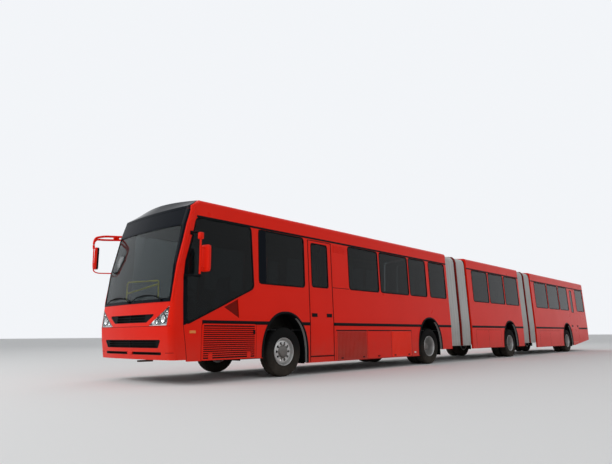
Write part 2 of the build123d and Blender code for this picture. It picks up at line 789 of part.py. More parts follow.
# Passenger door leaves, a pair in each right-hand doorway
LEAF_WIDTH = (DOORWAY - LEAF_GAP) / 2 - DOOR_GAP
LEAF_FOOT = FLOOR_TOP + DOOR_GAP
LEAF_HEAD = DOOR_HEAD - DOOR_GAP
LEAF_SILL = 1500
for number, (car, middle) in enumerate(DOORWAYS, 1):
    centre = DATUM[car] - middle
    for letter, turn in (("a", 1), ("b", -1)):
        hinge_edge = centre + turn * (DOORWAY / 2 - DOOR_GAP)
        free_edge = hinge_edge - turn * LEAF_WIDTH
        low, high = sorted((hinge_edge, free_edge))
        with BuildPart() as leaf:
            strip = wall_strip(LEAF_INSET, LEAF_INSET + LEAF_SKIN, LEAF_FOOT, LEAF_HEAD, -1)
            run_along(strip, low, high)
            glass_x = (low + LEAF_FRAME, high - LEAF_FRAME)
            through_side(pane(*glass_x, LEAF_SILL, LEAF_HEAD - LEAF_FRAME), -1)
            light = pane(*glass_x, LEAF_SILL, LEAF_HEAD - LEAF_FRAME, FIT)
            glass_in = LEAF_INSET + LEAF_SKIN / 2
            add(wall_patch(light, glass_in, glass_in + GLASS_SKIN, -1))
            shaft_x = hinge_edge - turn * LEAF_SHAFT_IN
            shaft_y = LEAF_SHAFT + LEAF_SHAFT_CLEAR - half_width(LEAF_HEAD, LEAF_INSET + LEAF_SKIN)
            shaft_foot, shaft_head = FLOOR_TOP + FIT, DOOR_HEAD - FIT
            with Locations((shaft_x, shaft_y, (shaft_foot + shaft_head) / 2)):
                Cylinder(LEAF_SHAFT, shaft_head - shaft_foot)
            for arm_z in (LEAF_FOOT + SHAFT_ARM, LEAF_HEAD - SHAFT_ARM):
                leaf_y = -half_width(arm_z, LEAF_INSET + LEAF_SKIN / 2)
                with Locations((shaft_x, (leaf_y + shaft_y) / 2, arm_z)):
                    Box(LEAF_SHAFT, shaft_y - leaf_y, SHAFT_ARM)
        leaf.part.label = f"door_{number}{letter}"
        export_step(leaf.part, f"parts/door_{number}{letter}.step")

# Service doors on the left side, one leaf each, hinged at the front edge
for car, front, rear, foot, head, window_front, window_rear, window_foot in SERVICE_DOORS:
    x_f, x_r = DATUM[car] - front - DOOR_GAP, DATUM[car] - rear + DOOR_GAP
    glass_x = (x_r + window_rear, x_f - window_front)
    with BuildPart() as service:
        strip = wall_strip(0, SERVICE_SKIN, foot + DOOR_GAP, head - DOOR_GAP, 1)
        run_along(strip, x_r, x_f)
        through_side(pane(*glass_x, window_foot, WINDOW_TOP - LEAF_FRAME), 1)
        light = pane(*glass_x, window_foot, WINDOW_TOP - LEAF_FRAME, FIT)
        add(wall_patch(light, GLASS_INSET, GLASS_INSET + GLASS_SKIN, 1))
        for knuckle_z in (foot + KNUCKLE_HEIGHT, WAIST_Z - KNUCKLE_HEIGHT):
            with Locations((x_f, HALF, knuckle_z)):
                Cylinder(DOOR_GAP - FIT, KNUCKLE_HEIGHT)
    service.part.label = f"service_door_{car}"
    export_step(service.part, f"parts/service_door_{car}.step")


def wheel_plane(x, y, side):
    """Plane square to the axle at a wheel, facing outwards."""
    return Plane(origin=(x, y, TYRE_RADIUS), x_dir=(side, 0, 0), z_dir=(0, side, 0))


def many_sided(plane, radius, sides=WHEEL_SIDES):
    """Regular outline with a flat at its foot, its sides at a radius."""
    with BuildSketch(plane) as ring:
        RegularPolygon(radius, sides, major_radius=False, rotation=180 / sides)
    return ring.sketch


def drum(plane, foot, head, radius, mode=Mode.ADD):
    """Straight many-sided drum between two distances along the axle."""
    extrude(many_sided(plane.offset(foot), radius), amount=head - foot, mode=mode)


def tyre_ring(plane):
    """One tyre: a many-sided ring with its shoulders cut back."""
    with BuildPart(mode=Mode.PRIVATE) as ring:
        drum(plane, -TYRE_WIDTH / 2, TYRE_WIDTH / 2, TYRE_RADIUS)
        chamfer(ring.faces().filter_by(Axis.Y).edges(), TYRE_SHOULDER)
        drum(plane, -TYRE_WIDTH / 2, TYRE_WIDTH / 2, RIM_RADIUS, Mode.SUBTRACT)
    return ring.part


# Wheels: name, axle, side, distances of the tyres' middle planes from the middle of the bus
twin_ys = (WHEEL_Y, WHEEL_Y - TWIN_SPACING)
WHEELS = [
    (f"{row}{letter}", x, side, (WHEEL_Y,) if row == 1 else twin_ys)
    for row, x in enumerate(AXLE_X, 1)
    for letter, side in (("l", 1), ("r", -1))
]
# Wheel discs and hubs, as distances outwards from the outer tyre's middle plane
SINGLE_DISC = 75
SINGLE_HUB = (0, 105)
TWIN_DISC = -130
TWIN_HUB = (-180, 10)
HUB_CAP = 20
for name, x, side, distances in WHEELS:
    with BuildPart() as tyre:
        for y in distances:
            add(tyre_ring(wheel_plane(x, side * y, side)))
    tyre.part.label = f"tyre_{name}"
    export_step(tyre.part, f"parts/tyre_{name}.step")

    with BuildPart() as rim:
        outermost = wheel_plane(x, side * distances[0], side)
        twin = len(distances) > 1
        reach = RIM_WIDTH / 2
        inmost = -reach - (distances[0] - distances[-1])
        outer = RIM_RADIUS - FIT
        inner = outer - RIM_SKIN
        disc_out = TWIN_DISC if twin else SINGLE_DISC
        hub_in, hub_out = TWIN_HUB if twin else SINGLE_HUB
        drum(outermost, inmost, reach, outer)
        with BuildPart(mode=Mode.PRIVATE) as dish:
            drum(outermost, disc_out, reach, inner)
            chamfer(dish.faces().sort_by(Axis.Y)[0 if side > 0 else -1].edges(), DISH_CUT)
        add(dish.part, mode=Mode.SUBTRACT)
        drum(outermost, inmost, disc_out - DISC_SKIN, inner, Mode.SUBTRACT)
        extrude(many_sided(outermost.offset(hub_in), HUB_RADIUS, HUB_SIDES), amount=hub_out - hub_in)
        with BuildSketch(outermost.offset(hub_in)) as bore:
            Circle(STUB_RADIUS + RUNNING_FIT)
        extrude(bore.sketch, amount=hub_out - hub_in - HUB_CAP, mode=Mode.SUBTRACT)
    rim.part.label = f"rim_{name}"
    export_step(rim.part, f"parts/rim_{name}.step")

# Axle beams with their air springs, stub ends and kingpin eyes
BEAM_WIDTH = 90
BEAM_HEIGHT = 100
TUBE_RADIUS = 75
DRIVE_CASE = 190
CASE_LENGTH = 300
CASE_SIDES = 12
CASE_CUT = 80
SPRING_RADIUS = 110
KINGPIN_INBOARD = 120
KINGPIN_RADIUS = 25
EYE_RADIUS = 44
EYE_HALF = 60
EAR_GAP = 6
EAR_HEIGHT = 44
CARRIER_IN = 50
CARRIER_OUT = 80
CARRIER_HALF = 70
STUB_CLEAR = 1
KINGPIN_Y = WHEEL_Y - KINGPIN_INBOARD


def across_plane(x, y):
    """Plane square to the axle line at a distance from the middle."""
    return Plane(origin=(x, y, TYRE_RADIUS), x_dir=(1, 0, 0), z_dir=(0, 1, 0))


def air_springs(x, beam_top):
    """Pair of air springs between a beam and the chassis rails."""
    height = RAIL_FOOT - FIT - beam_top
    for side in (1, -1):
        with Locations((x, side * RAIL_HALF_GAUGE, beam_top + height / 2)):
            Cylinder(SPRING_RADIUS, height)


def steering_beam(x):
    """Forged front beam with an eye for each kingpin."""
    with Locations((x, 0, TYRE_RADIUS)):
        Box(BEAM_WIDTH, 2 * KINGPIN_Y, BEAM_HEIGHT)
    for side in (1, -1):
        with Locations((x, side * KINGPIN_Y, TYRE_RADIUS)):
            Cylinder(EYE_RADIUS, 2 * EYE_HALF)
    for side in (1, -1):
        with Locations((x, side * KINGPIN_Y, TYRE_RADIUS)):
            Cylinder(KINGPIN_RADIUS + RUNNING_FIT, 2 * EYE_HALF, mode=Mode.SUBTRACT)
    air_springs(x, TYRE_RADIUS + BEAM_HEIGHT / 2)


def tube_axle(x):
    """Tubular axle with a central drive case and a stub in each twin wheel."""
    hub_end = WHEEL_Y + TWIN_HUB[1] - HUB_CAP - STUB_CLEAR
    tube_end = WHEEL_Y + TWIN_HUB[0] - STUB_CLEAR
    for radius, end in ((STUB_RADIUS, hub_end), (TUBE_RADIUS, tube_end)):
        with BuildSketch(across_plane(x, -end)) as shaft:
            Circle(radius)
        extrude(shaft.sketch, amount=2 * end)
    with BuildPart(mode=Mode.PRIVATE) as case:
        case_foot = Plane(origin=(x - CASE_LENGTH / 2, 0, TYRE_RADIUS), x_dir=(0, 1, 0), z_dir=(1, 0, 0))
        with BuildSketch(case_foot) as ring:
            RegularPolygon(DRIVE_CASE, CASE_SIDES, major_radius=False, rotation=180 / CASE_SIDES)
        extrude(ring.sketch, amount=CASE_LENGTH)
        chamfer(case.faces().filter_by(Axis.X).edges(), CASE_CUT)
    add(case.part)
    air_springs(x, TYRE_RADIUS + TUBE_RADIUS - 10)


for car, axles in CAR_AXLES.items():
    name = "front_axles" if car == "front" else f"{car}_axle"
    with BuildPart() as axle_set:
        for x in axles:
            if x == AXLE_X[0]:
                steering_beam(x)
            else:
                tube_axle(x)
    axle_set.part.label = name
    export_step(axle_set.part, f"parts/{name}.step")

# Steering knuckles: kingpin, ears, carrier plate and stub
for letter, side in (("l", 1), ("r", -1)):
    ear_foot = EYE_HALF + EAR_GAP
    ear_head = ear_foot + EAR_HEIGHT
    with BuildPart() as knuckle:
        with Locations((AXLE_X[0], side * KINGPIN_Y, TYRE_RADIUS)):
            Cylinder(KINGPIN_RADIUS, 2 * ear_head)
        for level in (1, -1):
            ear_z = TYRE_RADIUS + level * (ear_foot + ear_head) / 2
            ear_y = KINGPIN_Y + (CARRIER_OUT - EYE_RADIUS) / 2
            with Locations((AXLE_X[0], side * ear_y, ear_z)):
                Box(2 * EYE_RADIUS, CARRIER_OUT + EYE_RADIUS, EAR_HEIGHT)
        with Locations((AXLE_X[0], side * (KINGPIN_Y + (CARRIER_IN + CARRIER_OUT) / 2), TYRE_RADIUS)):
            Box(2 * CARRIER_HALF, CARRIER_OUT - CARRIER_IN, 2 * ear_head)
        stub_end = KINGPIN_INBOARD + SINGLE_HUB[1] - HUB_CAP - STUB_CLEAR
        with BuildSketch(wheel_plane(AXLE_X[0], side * (KINGPIN_Y + CARRIER_OUT), side)):
            Circle(STUB_RADIUS)
        extrude(amount=stub_end - CARRIER_OUT)
    knuckle.part.label = f"knuckle_{letter}"
    export_step(knuckle.part, f"parts/knuckle_{letter}.step")

# Flat engine hung under the floor between two cross beams
ENGINE_LENGTH = 1500
ENGINE_WIDTH = 740
ENGINE_DEPTH = 560
with BuildPart() as engine_block:
    engine_x = NOSE_X - (CROSS_BEAMS["front"][3] + CROSS_BEAMS["front"][4]) / 2
    with Locations((engine_x, 0, RAIL_TOP - ENGINE_DEPTH / 2)):
        Box(ENGINE_LENGTH, ENGINE_WIDTH, ENGINE_DEPTH)
engine_block.part.label = "engine_block"
export_step(engine_block.part, "parts/engine_block.step")

# Seats: benches on a pedestal, with a pole from the aisle corner of every other one
BENCH_WIDTH = 850
BENCH_GAP = 55
SEAT_HEIGHT = 430
CUSHION_DEPTH = 420
SEAT_SKIN = 50
BACK_HEIGHT = 650
BACK_LEAN = 110
PEDESTAL = 70
POLE_RADIUS = 17
CEILING_Z = 3350
DRIVER_SEAT = (-1250, 620, 500)
BENCHES = {
    ("front", 1): (1950, 2700, 3450, 4200, 4950),
    ("front", -1): (2800, 3450),
    ("middle", 1): (700, 1450, 2200),
    ("middle", -1): (2350,),
    ("rear", 1): (700, 1450, 2200, 2950, 6300, 7000),
    ("rear", -1): (2600, 3300, 5350),
}


def bench(x, y, width):
    """Seat with a leaning back on a pedestal, facing forwards."""
    seat = FLOOR_TOP + SEAT_HEIGHT
    with BuildSketch(Plane.XZ.offset(-y - width / 2)) as profile:
        with BuildLine():
            Polyline(
                (x + CUSHION_DEPTH, seat),
                (x + CUSHION_DEPTH, seat - SEAT_SKIN),
                (x - SEAT_SKIN, seat - SEAT_SKIN),
                (x - SEAT_SKIN - BACK_LEAN, seat + BACK_HEIGHT),
                (x - BACK_LEAN, seat + BACK_HEIGHT),
                (x, seat),
                close=True,
            )
        make_face()
    extrude(profile.sketch, amount=width)
    with Locations((x + CUSHION_DEPTH / 2, y, (FLOOR_TOP + seat - SEAT_SKIN) / 2)):
        Box(PEDESTAL, width / 2, seat - SEAT_SKIN - FLOOR_TOP)


for car in CARS:
    with BuildPart() as seats:
        for side in (1, -1):
            bench_y = side * (half_width(2000, WALL + BENCH_GAP) - BENCH_WIDTH / 2)
            for count, behind in enumerate(BENCHES[car, side]):
                bench(DATUM[car] - behind, bench_y, BENCH_WIDTH)
                if count % 2 == 0:
                    pole_y = bench_y - side * (BENCH_WIDTH / 2 - POLE_RADIUS)
                    foot = FLOOR_TOP + SEAT_HEIGHT + BACK_HEIGHT - SEAT_SKIN
                    pole_x = DATUM[car] - behind - BACK_LEAN - SEAT_SKIN / 2
                    with Locations((pole_x, pole_y, (foot + CEILING_Z) / 2)):
                        Cylinder(POLE_RADIUS, CEILING_Z - foot)
        if car == "front":
            behind, driver_y, driver_width = DRIVER_SEAT
            bench(DATUM[car] - behind, driver_y, driver_width)
    seats.part.label = f"{car}_seats"
    export_step(seats.part, f"parts/{car}_seats.step")

# Dashboard with the steering column and wheel
DASH_FRONT = 360
DASH_DEPTH = 380
DASH_HALF = 1080
DASH_TOP = 1560
DASH_SLOPE = 160
STEERING_RADIUS = 225
STEERING_GRIP = 16
STEERING_X = 800
STEERING_Z = 1700
STEERING_TILT = 55
COLUMN_RADIUS = 35
COLUMN_LENGTH = 400
with BuildPart() as driver_console:
    dash = NOSE_X - DASH_FRONT
    with BuildSketch(Plane.XZ.offset(-DASH_HALF)):
        with BuildLine():
            Polyline(
                (dash, FLOOR_TOP),
                (dash, DASH_TOP - DASH_SLOPE / 2),
                (dash - DASH_SLOPE, DASH_TOP),
                (dash - DASH_DEPTH, DASH_TOP - DASH_SLOPE),
                (dash - DASH_DEPTH * 0.6, FLOOR_TOP),
                close=True,
            )
        make_face()
    extrude(amount=2 * DASH_HALF)
    wheel_face = Plane(
        origin=(NOSE_X - STEERING_X, DRIVER_SEAT[1], STEERING_Z),
        x_dir=(0, 1, 0),
        z_dir=Vector(-1, 0, 0).rotate(Axis.Y, STEERING_TILT),
    )
    with BuildSketch(wheel_face.offset(-STEERING_GRIP)):
        Circle(STEERING_RADIUS)
        Circle(STEERING_RADIUS - 2 * STEERING_GRIP, mode=Mode.SUBTRACT)
        Rectangle(2 * STEERING_RADIUS - STEERING_GRIP, 2 * STEERING_GRIP)
        Circle(2 * COLUMN_RADIUS)
    extrude(amount=2 * STEERING_GRIP)
    with BuildSketch(wheel_face):
        Circle(COLUMN_RADIUS)
    extrude(amount=-COLUMN_LENGTH)
driver_console.part.label = "driver_console"
export_step(driver_console.part, "parts/driver_console.step")

# Mirrors: a long bracket with a hanging head on the right, an arm with a head on the left
ARM_RADIUS = 20
ARM_SIDES = 8
HEAD_RADIUS = 40


def wall_seat(z):
    """Distance from the middle at which an arm's square end meets the side wall."""
    return half_width(z - ARM_RADIUS, -FIT)


# side, route of the arm, and centre and size of the head
MIRRORS = (
    (
        -1,
        (
            (12000, -wall_seat(2930), 2930),
            (12000, -1310, 2930),
            (12450, -1500, 2930),
            (12600, -1530, 2880),
            (12580, -1530, 2150),
            (12200, -1320, 2150),
            (12200, -wall_seat(2150), 2150),
        ),
        (12590, -1530, 2475),
        (85, 210, 450),
    ),
    (
        1,
        (
            (12050, wall_seat(2700), 2700),
            (12050, 1475, 2700),
            (11990, 1475, 1900),
            (12185, 1345, 1900),
            (12185, wall_seat(1900), 1900),
        ),
        (11900, 1475, 2215),
        (170, 230, 490),
    ),
)
with BuildPart() as mirrors:
    for side, route, head_place, head_size in MIRRORS:
        depth, across, tall = head_size
        with BuildPart(mode=Mode.PRIVATE) as mirror:
            with BuildLine() as path:
                Polyline(*route)
            with BuildSketch(Plane(origin=path.line @ 0, z_dir=path.line % 0)):
                RegularPolygon(ARM_RADIUS, ARM_SIDES)
            sweep(transition=Transition.RIGHT)
            head_plane = Plane(origin=head_place, x_dir=(0, 1, 0), z_dir=(1, 0, 0))
            with BuildSketch(head_plane.offset(-depth / 2)) as face:
                RectangleRounded(across, tall, HEAD_RADIUS)
            extrude(face.sketch, amount=depth)
        add(mirror.part)
mirrors.part.label = "mirrors"
export_step(mirrors.part, "parts/mirrors.step")

# Tail lamps: a column of round lamps on each side of the rear wall
LAMP_RADIUS = 65
LAMP_SIDES = 16
LAMP_PITCH = 160
LAMP_SKIN = 18
LAMP_Y = 1080
LAMP_FOOT_Z = 720
LAMP_ROWS = 4
with BuildPart() as tail_lamps:
    for side in (1, -1):
        for row in range(LAMP_ROWS):
            place = (REAR_X - FIT, side * LAMP_Y, LAMP_FOOT_Z + row * LAMP_PITCH)
            with BuildSketch(Plane(origin=place, x_dir=(0, 1, 0), z_dir=(-1, 0, 0))):
                RegularPolygon(LAMP_RADIUS, LAMP_SIDES)
    extrude(amount=LAMP_SKIN)
tail_lamps.part.label = "tail_lamps"
export_step(tail_lamps.part, "parts/tail_lamps.step")
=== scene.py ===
"""Bi-articulated city bus: finishes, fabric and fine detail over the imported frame.

X points forward, Y to the bus's left and Z up, in metres, with the ground at Z 0.
Distances called back are measured behind the first axle on the front car, and behind
each other car's front end.
"""
import math

import bmesh
import bpy
import numpy as np
from mathutils import Matrix, Vector


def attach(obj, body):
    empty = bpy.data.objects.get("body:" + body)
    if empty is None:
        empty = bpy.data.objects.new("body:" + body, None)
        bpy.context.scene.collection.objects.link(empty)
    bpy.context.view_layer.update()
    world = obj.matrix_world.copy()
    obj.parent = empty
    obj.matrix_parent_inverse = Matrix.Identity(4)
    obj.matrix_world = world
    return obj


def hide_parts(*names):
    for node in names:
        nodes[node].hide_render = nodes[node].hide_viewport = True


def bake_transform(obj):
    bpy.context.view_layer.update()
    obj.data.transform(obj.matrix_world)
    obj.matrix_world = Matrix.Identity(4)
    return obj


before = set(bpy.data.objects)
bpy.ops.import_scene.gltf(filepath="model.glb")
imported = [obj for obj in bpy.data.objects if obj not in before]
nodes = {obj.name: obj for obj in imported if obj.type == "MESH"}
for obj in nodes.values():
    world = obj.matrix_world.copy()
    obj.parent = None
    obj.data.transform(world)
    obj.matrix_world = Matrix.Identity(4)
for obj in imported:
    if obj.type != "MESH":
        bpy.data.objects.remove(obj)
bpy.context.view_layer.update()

# Body sizes, as in the frame
HALF = 1.275
WAIST_Z = 1.1
EAVE_Z = 3.23
LEAN = 0.08 / (EAVE_Z - WAIST_Z)
NOSE_X = 12.53
REAR_X = -12.53
CROWN_Z = 3.43
CROWN_DROP = 0.058
CROWN_HALF = 1.11
WINDOW_TOP = 3.0
AXLE_X = (9.65, 3.65, -2.35, -9.2)
DATUM = {"front": AXLE_X[0], "middle": 0.9, "rear": -5.05}
CAR_ENDS = {"front": (2.35, NOSE_X), "middle": (-3.65, 0.9), "rear": (REAR_X, -5.05)}
BODY = {"front": "front_car", "middle": "middle_car", "rear": "rear_car"}
TYRE_RADIUS = 0.507
WHEEL_Y = 1.0975
TWIN_SPACING = 0.32

# Nose by height: height, setback on the middle line, bulge of the middle ahead of the corners
NOSE = np.array(
    (
        (0.43, 0.07, 0.06), (0.77, 0.02, 0.06), (1.01, 0.0, 0.06), (1.1, 0.007, 0.06), (1.42, 0.03, 0.06),
        (2.1, 0.1, 0.06), (2.88, 0.27, 0.06), (3.23, 0.38, 0.06), (3.46, 0.585, 0.215),
    )
)
NOSE_CORNER = 0.12


# Shapes: grids of points worked out as whole arrays


def half_width(z):
    """Half width of the body at a height: upright to the waist, then leaning in."""
    return HALF - LEAN * np.maximum(0, z - WAIST_Z)


def nose_x(y, z, proud=0.0):
    """Front skin: a shallow arc across the nose, then a quarter circle at each corner.

    The outline of each half leans in with the side wall, so its arcs are worked out at
    the distance from the side wall, not from the middle.
    """
    setback = np.interp(z, NOSE[:, 0], NOSE[:, 1])
    bulge = np.interp(z, NOSE[:, 0], NOSE[:, 2])
    across = np.abs(y) + HALF - half_width(z)
    flat = HALF - NOSE_CORNER
    radius = (flat**2 + bulge**2) / (2 * bulge)
    bow = radius - np.sqrt(radius**2 - np.minimum(across, flat) ** 2)
    past = np.clip(across - flat, 0, NOSE_CORNER)
    return NOSE_X - setback - bow - NOSE_CORNER + np.sqrt(NOSE_CORNER**2 - past**2) + proud


def on_nose(y, z, proud):
    """Points proud of the front skin, forward of it."""
    return np.stack((nose_x(y, z, proud), y, z), -1)


def on_wall(x, z, side, proud):
    """Points proud of a side wall, sideways off it."""
    return np.stack((x, side * (half_width(z) + proud), z), -1)


def nose_off(y, z, out):
    """Points off the front skin along its outward normal, found from small steps of y and z."""
    step = 1e-4
    along_y = (nose_x(y + step, z) - nose_x(y - step, z)) / (2 * step)
    along_z = (nose_x(y, z + step) - nose_x(y, z - step)) / (2 * step)
    size = np.sqrt(1 + along_y**2 + along_z**2)
    return np.stack((nose_x(y, z) + out / size, y - out * along_y / size, z - out * along_z / size), -1)


def quads(rows, cols, loop_rows=False, loop_cols=False, first=0):
    """Faces of a rows by cols grid; a looped side joins its last line to its first."""
    r = np.arange(rows if loop_rows else rows - 1)[:, None]
    c = np.arange(cols if loop_cols else cols - 1)[None, :]
    next_r, next_c = (r + 1) % rows, (c + 1) % cols
    faces = np.stack([r * cols + c, r * cols + next_c, next_r * cols + next_c, next_r * cols + c], -1)
    return faces.reshape(-1, 4) + first


def linked(name, data):
    """New object with its data, put into the scene."""
    made = bpy.data.objects.new(name, data)
    bpy.context.scene.collection.objects.link(made)
    return made


class Shape:
    """Grids of points gathered into one mesh."""

    def __init__(self):
        self.points = []
        self.faces = []
        self.count = 0

    def grid(self, points, loop_rows=False, loop_cols=False, capped=False):
        """Adds a grid of points; capped closes its first and last rows with one face each."""
        rows, cols = points.shape[:2]
        self.faces += quads(rows, cols, loop_rows, loop_cols, self.count).tolist()
        if capped:
            first = self.count
            last = self.count + (rows - 1) * cols
            self.faces.append(list(range(first + cols - 1, first - 1, -1)))
            self.faces.append(list(range(last, last + cols)))
        self.points.append(points.reshape(-1, 3))
        self.count += rows * cols

    def rod(self, points):
        """Adds looped rows of points along a run, with both of its ends closed."""
        self.grid(points, loop_cols=True, capped=True)

    def band(self, points):
        """Adds a grid that is looped both ways."""
        self.grid(points, loop_rows=True, loop_cols=True)

    def blocks(self, centres, sizes):
        """Adds one six-sided bar for each centre, with its sizes along X, Y and Z."""
        centres = np.atleast_2d(centres).astype(float)
        sizes = np.broadcast_to(np.atleast_2d(sizes), centres.shape)
        sign = np.array([(a, b, c) for a in (-1, 1) for b in (-1, 1) for c in (-1, 1)]) / 2
        points = centres[:, None] + sign[None] * sizes[:, None]
        six = np.array(((0, 1, 3, 2), (4, 6, 7, 5), (0, 4, 5, 1), (2, 3, 7, 6), (0, 2, 6, 4), (1, 5, 7, 3)))
        faces = six[None] + 8 * np.arange(len(centres))[:, None, None] + self.count
        self.faces += faces.reshape(-1, 4).tolist()
        self.points.append(points.reshape(-1, 3))
        self.count += 8 * len(centres)

    def made(self, name, finish, body, slot=None, replaces=(), bevel=0.0, smooth=40.0):
        """Puts the grids into a mesh object that rides on a body, if one is named."""
        mesh = bpy.data.meshes.new(name)
        mesh.from_pydata(np.concatenate(self.points).tolist(), [], self.faces)
        work = bmesh.new()
        work.from_mesh(mesh)
        bmesh.ops.remove_doubles(work, verts=work.verts, dist=1e-6)
        bmesh.ops.recalc_face_normals(work, faces=work.faces)
        work.to_mesh(mesh)
        work.free()
        mesh.materials.append(finish)
        piece = linked(name, mesh)
        if smooth:
            mesh.shade_smooth()
            mesh.set_sharp_from_angle(angle=math.radians(smooth))
        if bevel:
            soft = piece.modifiers.new("edges", "BEVEL")
            soft.width = bevel
            soft.segments = 2
            soft.limit_method = "ANGLE"
        if body:
            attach(piece, body)
        if replaces:
            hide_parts(*replaces)
        return piece


def softened(points, radius, steps=6, closed=True):
    """Outline with each corner turned into a parabolic arc between two points beside it."""
    points = np.array(points, float)
    before = np.roll(points, 1, 0)
    after = np.roll(points, -1, 0)
    to_before = before - points
    to_after = after - points
    radius = np.minimum(
        radius, 0.48 * np.minimum(np.linalg.norm(to_before, axis=1), np.linalg.norm(to_after, axis=1))
    )[:, None]
    start = points + to_before / np.linalg.norm(to_before, axis=1, keepdims=True) * radius
    end = points + to_after / np.linalg.norm(to_after, axis=1, keepdims=True) * radius
    t = np.linspace(0, 1, steps)[None, :, None]
    arcs = (1 - t) ** 2 * start[:, None] + 2 * t * (1 - t) * points[:, None] + t**2 * end[:, None]
    if not closed:
        arcs[0] = points[0]
        arcs[-1] = points[-1]
    return arcs.reshape(-1, points.shape[1])


def stations(path, closed):
    """Unit tangents of a path, from the points on either side of each point."""
    if closed:
        ahead, behind = np.roll(path, -1, 0), np.roll(path, 1, 0)
    else:
        ahead = np.concatenate((path[1:], path[-1:]))
        behind = np.concatenate((path[:1], path[:-1]))
    along = ahead - behind
    return along / np.maximum(np.linalg.norm(along, axis=1, keepdims=True), 1e-9)


def unique_run(path):
    """The path without points that repeat the one before."""
    step = np.linalg.norm(np.diff(path, axis=0), axis=1)
    return path[np.concatenate(([True], step > 1e-6))]


def across_path(path, closed):
    """Unit vectors square to a flat path, on its right."""
    along = stations(path, closed)
    return np.stack((along[:, 1], -along[:, 0]), -1)


def carried(outline, profile, closed=True):
    """Profile carried along a flat outline: both places in its plane, and the height off it.

    Each profile point is a distance across the outline, in the plane, and a height.
    """
    outline = unique_run(np.array(outline, float))
    if closed and np.linalg.norm(outline[0] - outline[-1]) < 1e-6:
        outline = outline[:-1]
    profile = np.array(profile, float)
    flat = outline[:, None] + profile[None, :, :1] * across_path(outline, closed)[:, None]
    return flat[..., 0], flat[..., 1], profile[None, :, 1]


def side_trim(outline, profile, side, closed=True):
    """Profile carried along an outline of x and z, laid on the leaning side wall."""
    x, z, proud = carried(outline, profile, closed)
    return on_wall(x, z, side, proud)


def nose_trim(outline, profile, closed=True):
    """Profile carried along an outline of y and z, laid on the curved front."""
    return on_nose(*carried(outline, profile, closed))


def rear_trim(outline, profile):
    """Profile carried along a closed outline of y and z, laid on the flat rear wall."""
    y, z, proud = carried(outline, profile)
    return np.stack((REAR_X - proud + 0 * y, y, z), -1)


def level_line(x, z):
    """Level line of x and z."""
    return np.stack((x, np.full(len(x), z)), -1)


def box_outline(x_low, x_high, foot, head):
    """Corners of an upright rectangle of x and z, anticlockwise."""
    return ((x_low, foot), (x_high, foot), (x_high, head), (x_low, head))


def car_box(car, start, end, foot, head):
    """Corners of a rectangle on a car, from distances back and heights."""
    return box_outline(DATUM[car] - end, DATUM[car] - start, foot, head)


def opening(sizes, turn=1):
    """Corners of an opening that narrows upwards, from two heights and half widths."""
    (foot, low_y), (head, high_y) = sizes
    return [(turn * y, z) for y, z in ((-low_y, foot), (low_y, foot), (high_y, head), (-high_y, head))]


def side_patch(outline, side, proud, skin=0.003):
    """Flat patch on the side wall: a loop of four corners at two depths."""
    return np.stack([on_wall(*np.array(outline).T, side, depth) for depth in (proud - skin, proud)])


def circle(steps):
    """Angles in even steps round a circle."""
    return np.linspace(0, 2 * np.pi, steps, endpoint=False)


def tube(path, radius, sides=12, squeeze=1.0):
    """Circle carried along a path, in the plane square to it at each point."""
    path = unique_run(np.array(path, float))
    along = stations(path, False)
    spread = path.max(0) - path.min(0)
    steady = np.eye(3)[int(np.argmin(spread))]
    first = np.cross(along, steady)
    first /= np.maximum(np.linalg.norm(first, axis=1, keepdims=True), 1e-9)
    second = np.cross(along, first)
    turn = circle(sides)
    c, s = np.cos(turn)[None, :, None], np.sin(turn)[None, :, None]
    return path[:, None] + radius * (c * first[:, None] + squeeze * s * second[:, None])


def turned(profile, place, side, steps=96):
    """Profile of distances outwards and radii, turned about the axle line through a place."""
    profile = np.array(profile, float)
    angle = circle(steps)
    x = place[0] + profile[:, None, 1] * np.cos(angle)[None]
    y = place[1] + side * profile[:, None, 0] + 0 * angle[None]
    z = place[2] + profile[:, None, 1] * np.sin(angle)[None]
    return np.stack((x, y, z), -1)


# Finishes


def set_inputs(node, values):
    """Sets a node's own sockets, by their names."""
    for label, value in values.items():
        node.inputs[label].default_value = value


def added(tree, kind, values=()):
    """Node added to a tree, with its own sockets set."""
    node = tree.nodes.new("ShaderNode" + kind)
    set_inputs(node, dict(values))
    return node


def group(name, inputs, outputs):
    """Empty node group with named sockets: colours where their values are tuples, or else numbers."""
    made = bpy.data.node_groups.new(name, "ShaderNodeTree")
    for way, sockets in (("INPUT", inputs), ("OUTPUT", outputs)):
        for label, value in sockets.items():
            kind = "NodeSocketColor" if isinstance(value, tuple) else "NodeSocketFloat"
            made.interface.new_socket(label, in_out=way, socket_type=kind).default_value = value
    return made, made.nodes.new("NodeGroupInput"), made.nodes.new("NodeGroupOutput")


def math_node(tree, kind, a, b=None, clamp=False):
    """Math node with sockets or numbers as its inputs; gives its output."""
    node = added(tree, "Math")
    node.operation = kind
    node.use_clamp = clamp
    for slot, value in enumerate((a, b)):
        if value is None:
            continue
        if isinstance(value, (int, float)):
            node.inputs[slot].default_value = value
        else:
            tree.links.new(value, node.inputs[slot])
    return node.outputs[0]


def mixed(tree, amount, a, b):
    """Colour mix of two colours or sockets by an amount."""
    node = added(tree, "Mix")
    node.data_type = "RGBA"
    for slot, value in ((0, amount), (6, a), (7, b)):
        if isinstance(value, (int, float, tuple)):
            node.inputs[slot].default_value = value
        else:
            tree.links.new(value, node.inputs[slot])
    return node.outputs[2]


